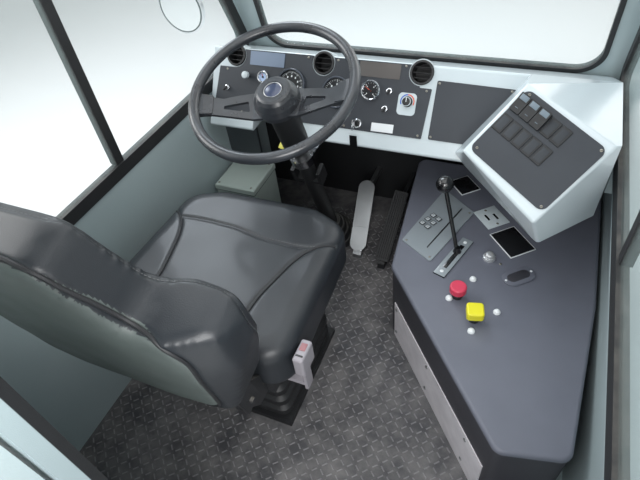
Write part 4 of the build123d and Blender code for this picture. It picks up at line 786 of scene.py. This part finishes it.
def foam(name, node, voxel, inset, swell):
    """A foam pad: a solid's shape drawn in, remeshed and blown out as cloth. How far each point has
    risen is then evened out over its neighbours, which leaves no creases, and the cover is added."""
    low, high = [Vector(corner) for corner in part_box(node)]
    middle = (low + high) / 2
    shape = bmesh.new()
    shape.from_mesh(nodes[node].data)
    bmesh.ops.remove_doubles(shape, verts=shape.verts, dist=1e-5)
    bmesh.ops.recalc_face_normals(shape, faces=shape.faces)
    drawn_in = Matrix.Diagonal([1 - 2 * inset / length for length in high - low] + [1])
    shape.transform(Matrix.Translation(middle) @ drawn_in @ Matrix.Translation(-middle))
    mesh = bpy.data.meshes.new(name)
    shape.to_mesh(mesh)
    shape.free()
    pad = bpy.data.objects.new(name, mesh)
    bpy.context.scene.collection.objects.link(pad)
    remesh = pad.modifiers.new("remesh", "REMESH")
    remesh.mode = "VOXEL"
    remesh.voxel_size = voxel
    applied(pad)
    start = [(vertex.co.copy(), vertex.normal.copy()) for vertex in pad.data.vertices]
    cloth = pad.modifiers.new("cloth", "CLOTH")
    cloth.settings.use_pressure = True
    cloth.settings.uniform_pressure_force = 4
    cloth.settings.effector_weights.gravity = 0
    for moment in range(1, CLOTH_FRAMES + 1):
        bpy.context.scene.frame_set(moment)
    applied(pad)
    around = [[] for _ in start]
    for edge in pad.data.edges:
        one, other = edge.vertices
        around[one].append(other)
        around[other].append(one)
    rise = [min(max((vertex.co - was).dot(normal), 0), swell)
            for vertex, (was, normal) in zip(pad.data.vertices, start)]
    for _ in range(EVEN_ROUNDS):
        rise = [(own + sum(rise[other] for other in others)) / (1 + len(others))
                for own, others in zip(rise, around)]
    for vertex, (was, normal), out in zip(pad.data.vertices, start, rise):
        vertex.co = was + normal * (out + COVER)
    bpy.context.scene.frame_set(1)
    return pad


def smoothed(pad, rounds, low, high):
    """Relax a pad, hold it inside two corners, and divide its faces once."""
    shape = bmesh.new()
    shape.from_mesh(pad.data)
    for _ in range(rounds):
        bmesh.ops.smooth_vert(shape, verts=shape.verts, factor=0.5, use_axis_x=True, use_axis_y=True, use_axis_z=True)
    for vertex in shape.verts:
        vertex.co = Vector([min(max(value, least), most) for value, least, most in zip(vertex.co, low, high)])
    for face in shape.faces:
        face.smooth = True
    shape.to_mesh(pad.data)
    shape.free()
    finer = pad.modifiers.new("finer", "SUBSURF")
    finer.levels = finer.render_levels = 1
    applied(pad)


def through(points, step):
    """Points at even steps along a smooth line through some points, in millimetres."""
    ends = [points[0]] + list(points) + [points[-1]]
    line = []
    for a, b, c, d in zip(ends, ends[1:], ends[2:], ends[3:]):
        a, b, c, d = Vector(a), Vector(b), Vector(c), Vector(d)
        count = max(1, round((c - b).length / step))
        for k in range(count):
            t = k / count
            line.append(0.5 * (2 * b + (c - a) * t + (2 * a - 5 * b + 4 * c - d) * t * t
                               + (3 * b - a - 3 * c + d) * t * t * t))
    line.append(Vector(points[-1]))
    return line


def tube(points, radius):
    """A sewn-in cord along points in metres, as a form."""
    path = bpy.data.curves.new("path", "CURVE")
    path.dimensions = "3D"
    path.bevel_depth = radius
    path.bevel_resolution = 2
    path.use_fill_caps = True
    run = path.splines.new("POLY")
    run.points.add(len(points) - 1)
    for point, where in zip(run.points, points):
        point.co = (*where, 1)
    carrier = bpy.data.objects.new("carrier", path)
    bpy.context.scene.collection.objects.link(carrier)
    bpy.context.view_layer.update()
    mesh = bpy.data.meshes.new_from_object(carrier.evaluated_get(bpy.context.evaluated_depsgraph_get()))
    form = bmesh.new()
    form.from_mesh(mesh)
    bpy.data.objects.remove(carrier)
    bpy.data.curves.remove(path)
    bpy.data.meshes.remove(mesh)
    return form


def pressed(pad, lines, depth, width):
    """Press grooves into a pad along lines of points in metres."""
    count = sum(len(line) for line in lines)
    tree = KDTree(count)
    for index, point in enumerate(p for line in lines for p in line):
        tree.insert(point, index)
    tree.balance()
    normals = [vertex.normal.copy() for vertex in pad.data.vertices]
    for vertex, normal in zip(pad.data.vertices, normals):
        away = tree.find(vertex.co)[2]
        if away < 3 * width:
            vertex.co -= normal * depth * math.exp(-(away / width) ** 2)


LINE_ROUNDS = 24


def laid_on(pad, points, cast=None):
    """Points of a line put on a pad's surface, and its normals there; cast is a direction to look along."""
    tree = BVHTree.FromObject(pad, bpy.context.evaluated_depsgraph_get())
    spots = []
    for point in points:
        at = cab(*point)
        found = tree.ray_cast(at - Vector(cast) * 0.3, Vector(cast)) if cast else tree.find_nearest(at)
        if found[0] is not None:
            spots.append((found[0], found[1]))
    for _ in range(LINE_ROUNDS):
        spots[1:-1] = [((a[0] + b[0] * 2 + c[0]) / 4, (a[1] + b[1] * 2 + c[1]).normalized())
                       for a, b, c in zip(spots, spots[1:], spots[2:])]
    return spots


def stitches(spots, pitch, size, material):
    """Threads laid one after another along a line on a surface, with small gaps between them."""
    made = []
    gone = 0.0
    for (a, normal), (b, _) in zip(spots, spots[1:]):
        gone += (b - a).length
        if gone < pitch or (b - a).length < 1e-6:
            continue
        gone = 0.0
        x = (b - a).normalized()
        y = normal.cross(x).normalized()
        place = Matrix.Translation(a + normal * 0.0002) @ Matrix((x, y, x.cross(y))).transposed().to_4x4()
        made.append((bar(place, size, 0.3, 1), material))
    return made


thread = finish("thread", linear(104, 106, 107), linear(88, 90, 91), roughness=0.7, grain_depth=0.0)
piping = finish("piping", linear(30, 31, 34), linear(42, 43, 46), roughness=0.55, grain_depth=0.0)

# The cushion: a centre panel between two welts, with a double-stitched roll across its front
cushion = foam("seat_cushion_pad", "seat_cushion", 0.006, 0.003, 0.012)
low, high = [Vector(corner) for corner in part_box("seat_cushion")]
smoothed(cushion, 5, low + Vector((0, 0, 0.0003)), high + Vector((0, 0.008, 0.010)))
welt = ((131, 408), (136, 480), (140, 542), (148, 580), (159, 624), (171, 669), (189, 711), (207, 735), (228, 756),
        (251, 771))
cross_seam = ((-206, 742), (-150, 748), (-85, 748), (-20, 744), (55, 729), (110, 728), (170, 728), (206, 736))
welts = []
for way in (-1, 1):
    welts.append(through([(-246 + way * x, y, 600) for x, y in welt], 3))
seam = through([(-246 + x, y, 600) for x, y in cross_seam], 3)
down = (0, 0, -1)
sunk = [[spot[0] for spot in laid_on(cushion, line, down)] for line in welts + [seam]]
pressed(cushion, sunk, 0.004, 0.0055)
cushion.data.materials.clear()
cushion.data.materials.append(vinyl)
cushion_parts = []
for line in welts:
    spots = laid_on(cushion, line, down)
    cushion_parts.append((tube([spot + normal * 0.001 for spot, normal in spots], 0.003), piping))
for shift in (-6, 6):
    beside = [Vector((p.x, p.y + shift, p.z)) for p in seam]
    cushion_parts += stitches(laid_on(cushion, beside, down), 0.0062, (4.8, 1.2, 1.0), thread)
for shift in (-7, 7):
    for way, line in zip((-1, 1), welts):
        beside = [Vector((p.x + way * shift, p.y, p.z)) for p in line]
        cushion_parts += stitches(laid_on(cushion, beside, down), 0.0078, (5.0, 1.0, 0.9), piping)
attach(cushion, "seat")
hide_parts("seat_cushion")
piece("seat_cushion_seams", cushion_parts, body="seat")

# The backrest: a winged front panel stitched to its boxing, and a grey vinyl panel behind, inside
# a welt
backrest = foam("seat_back_pad", "seat_back", 0.007, 0.002, 0.012)
low, high = [Vector(corner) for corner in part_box("seat_back")]
spare = Vector((0.008, 0.008, 0.008))
smoothed(backrest, 5, low - spare, high + spare)
rear_welt = ((0, 174, 1000), (57, 175, 992), (104, 180, 972), (118, 188, 940), (142, 206, 888), (172, 218, 842),
             (226, 214, 816), (246, 222, 780), (240, 234, 700), (228, 255, 603), (212, 268, 545), (150, 276, 512),
             (0, 278, 508))
front_seam = ((0, 1007), (76, 1005), (98, 985), (118, 938), (146, 872), (176, 846), (224, 842), (278, 840),
              (304, 816), (308, 760), (288, 690), (262, 600), (240, 530))
lean = Matrix.Rotation(math.radians(12), 3, "X")
hinge = Vector((0, 330, 440))
front_line = []
for x, z in front_seam:
    if x < 120:
        front = 370
    elif x < 225:
        front = 370 + 34 * (x - 120) / 105
    elif x < 296:
        front = 404 - 3 * (x - 225) / 71
    else:
        front = 388
    front_line.append(lean @ (Vector((x, front - 4, z)) - hinge) + hinge)
rear_loop = [(-246 + x, y, z) for x, y, z in rear_welt] + [(-246 - x, y, z) for x, y, z in rear_welt[-2::-1]]
front_loop = [(-246 - p.x, p.y, p.z) for p in front_line[:0:-1]] + [(-246 + p.x, p.y, p.z) for p in front_line]
rear_line = laid_on(backrest, through(rear_loop, 3))
front_spots = laid_on(backrest, through(front_loop, 3))
pressed(backrest, [[spot[0] for spot in rear_line], [spot[0] for spot in front_spots]], 0.0035, 0.005)
panel_vinyl = finish("panel_vinyl", linear(84, 92, 90), linear(70, 78, 76), roughness=0.5, grain_scale=600.0,
                     grain_depth=0.0004, drift=0.6, drift_scale=9.0)
backrest.data.materials.clear()
backrest.data.materials.append(vinyl)
backrest.data.materials.append(panel_vinyl)
outline = [(spot[0].x, spot[0].z) for spot in rear_line[::4]]
for face in backrest.data.polygons:
    if face.normal.y < -0.35 and face.center.z < 1.11:
        inside = False
        for (x0, z0), (x1, z1) in zip(outline, outline[1:] + outline[:1]):
            if (z0 > face.center.z) != (z1 > face.center.z):
                if face.center.x < x0 + (x1 - x0) * (face.center.z - z0) / (z1 - z0):
                    inside = not inside
        face.material_index = int(inside)
backrest_parts = [(tube([spot + normal * 0.001 for spot, normal in laid_on(backrest, through(rear_loop, 3))], 0.004),
                   piping)]
backrest_parts += stitches(laid_on(backrest, through(front_loop, 2.5)), 0.0056, (4.4, 1.1, 1.0), thread)
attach(backrest, "seat_back")
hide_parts("seat_back")
piece("seat_back_seams", backrest_parts, body="seat_back")


# The buckle on its stalk beside the cushion: a pale grey moulded case with a faded red release,
# which rides with the seat.
buckle_grey = finish("buckle_grey", linear(150, 146, 152), linear(130, 126, 132), roughness=0.45, grain_depth=0.0)
release_red = finish("release_red", linear(150, 104, 108), linear(132, 90, 94), roughness=0.35, grain_depth=0.0)
dress(buckle_grey, "seat_buckle")
buckle_parts = [(bar(stand((44, 470, 470.2), (0, 0, 1), (0, 1, 0)), (15, 20, 3.0), 1.3), release_red),
                (bar(stand((44, 446, 470.3), (0, 0, 1), (0, 1, 0)), (18, 4, 1.6), 0.4), plaque_black)]
piece("seat_buckle_release", buckle_parts, body="seat")


# Outside: silvered glass in the mirrors, a row of plated bolts along the upper door runner, and
# rivets where the walls are fixed to the floor's flange.
mirror_glass = finish("mirror_glass", linear(226, 230, 232), linear(222, 226, 228), roughness=0.03, metallic=1.0,
                      grain_depth=0.0)
outside_parts = []
for way in (-1, 1):
    face = stand((way * 866, 1494, 767), (0, -1, 0))
    outside_parts.append((turned(face, ((0, 1.2), (84, 1.2), (85, 0.2), (0, 0.2)), 64), mirror_glass))
    outside_parts.append((turned(face, ((85, 0.2), (85, 2), (87, 3), (89, 2), (89, 0.2), (85, 0.2)), 64), trim_black))
    for row in range(10):
        rivet = stand((way * 684, 90 + row * 156, 10), (way, 0, 0))
        outside_parts.append((turned(rivet, ((0, 2.6), (3, 2.3), (5.2, 1.2), (6, 0), (0, 0)), 14), cab_paint))
for column in range(7):
    x = -630 + column * 210
    head = stand((x, -41, 1529), (0, -1, 0))
    outside_parts.append((turned(head, ((0, 5), (7, 5), (8, 4.2), (8, 0), (0, 0)), 6), zinc))
piece("outside_fixings", outside_parts)
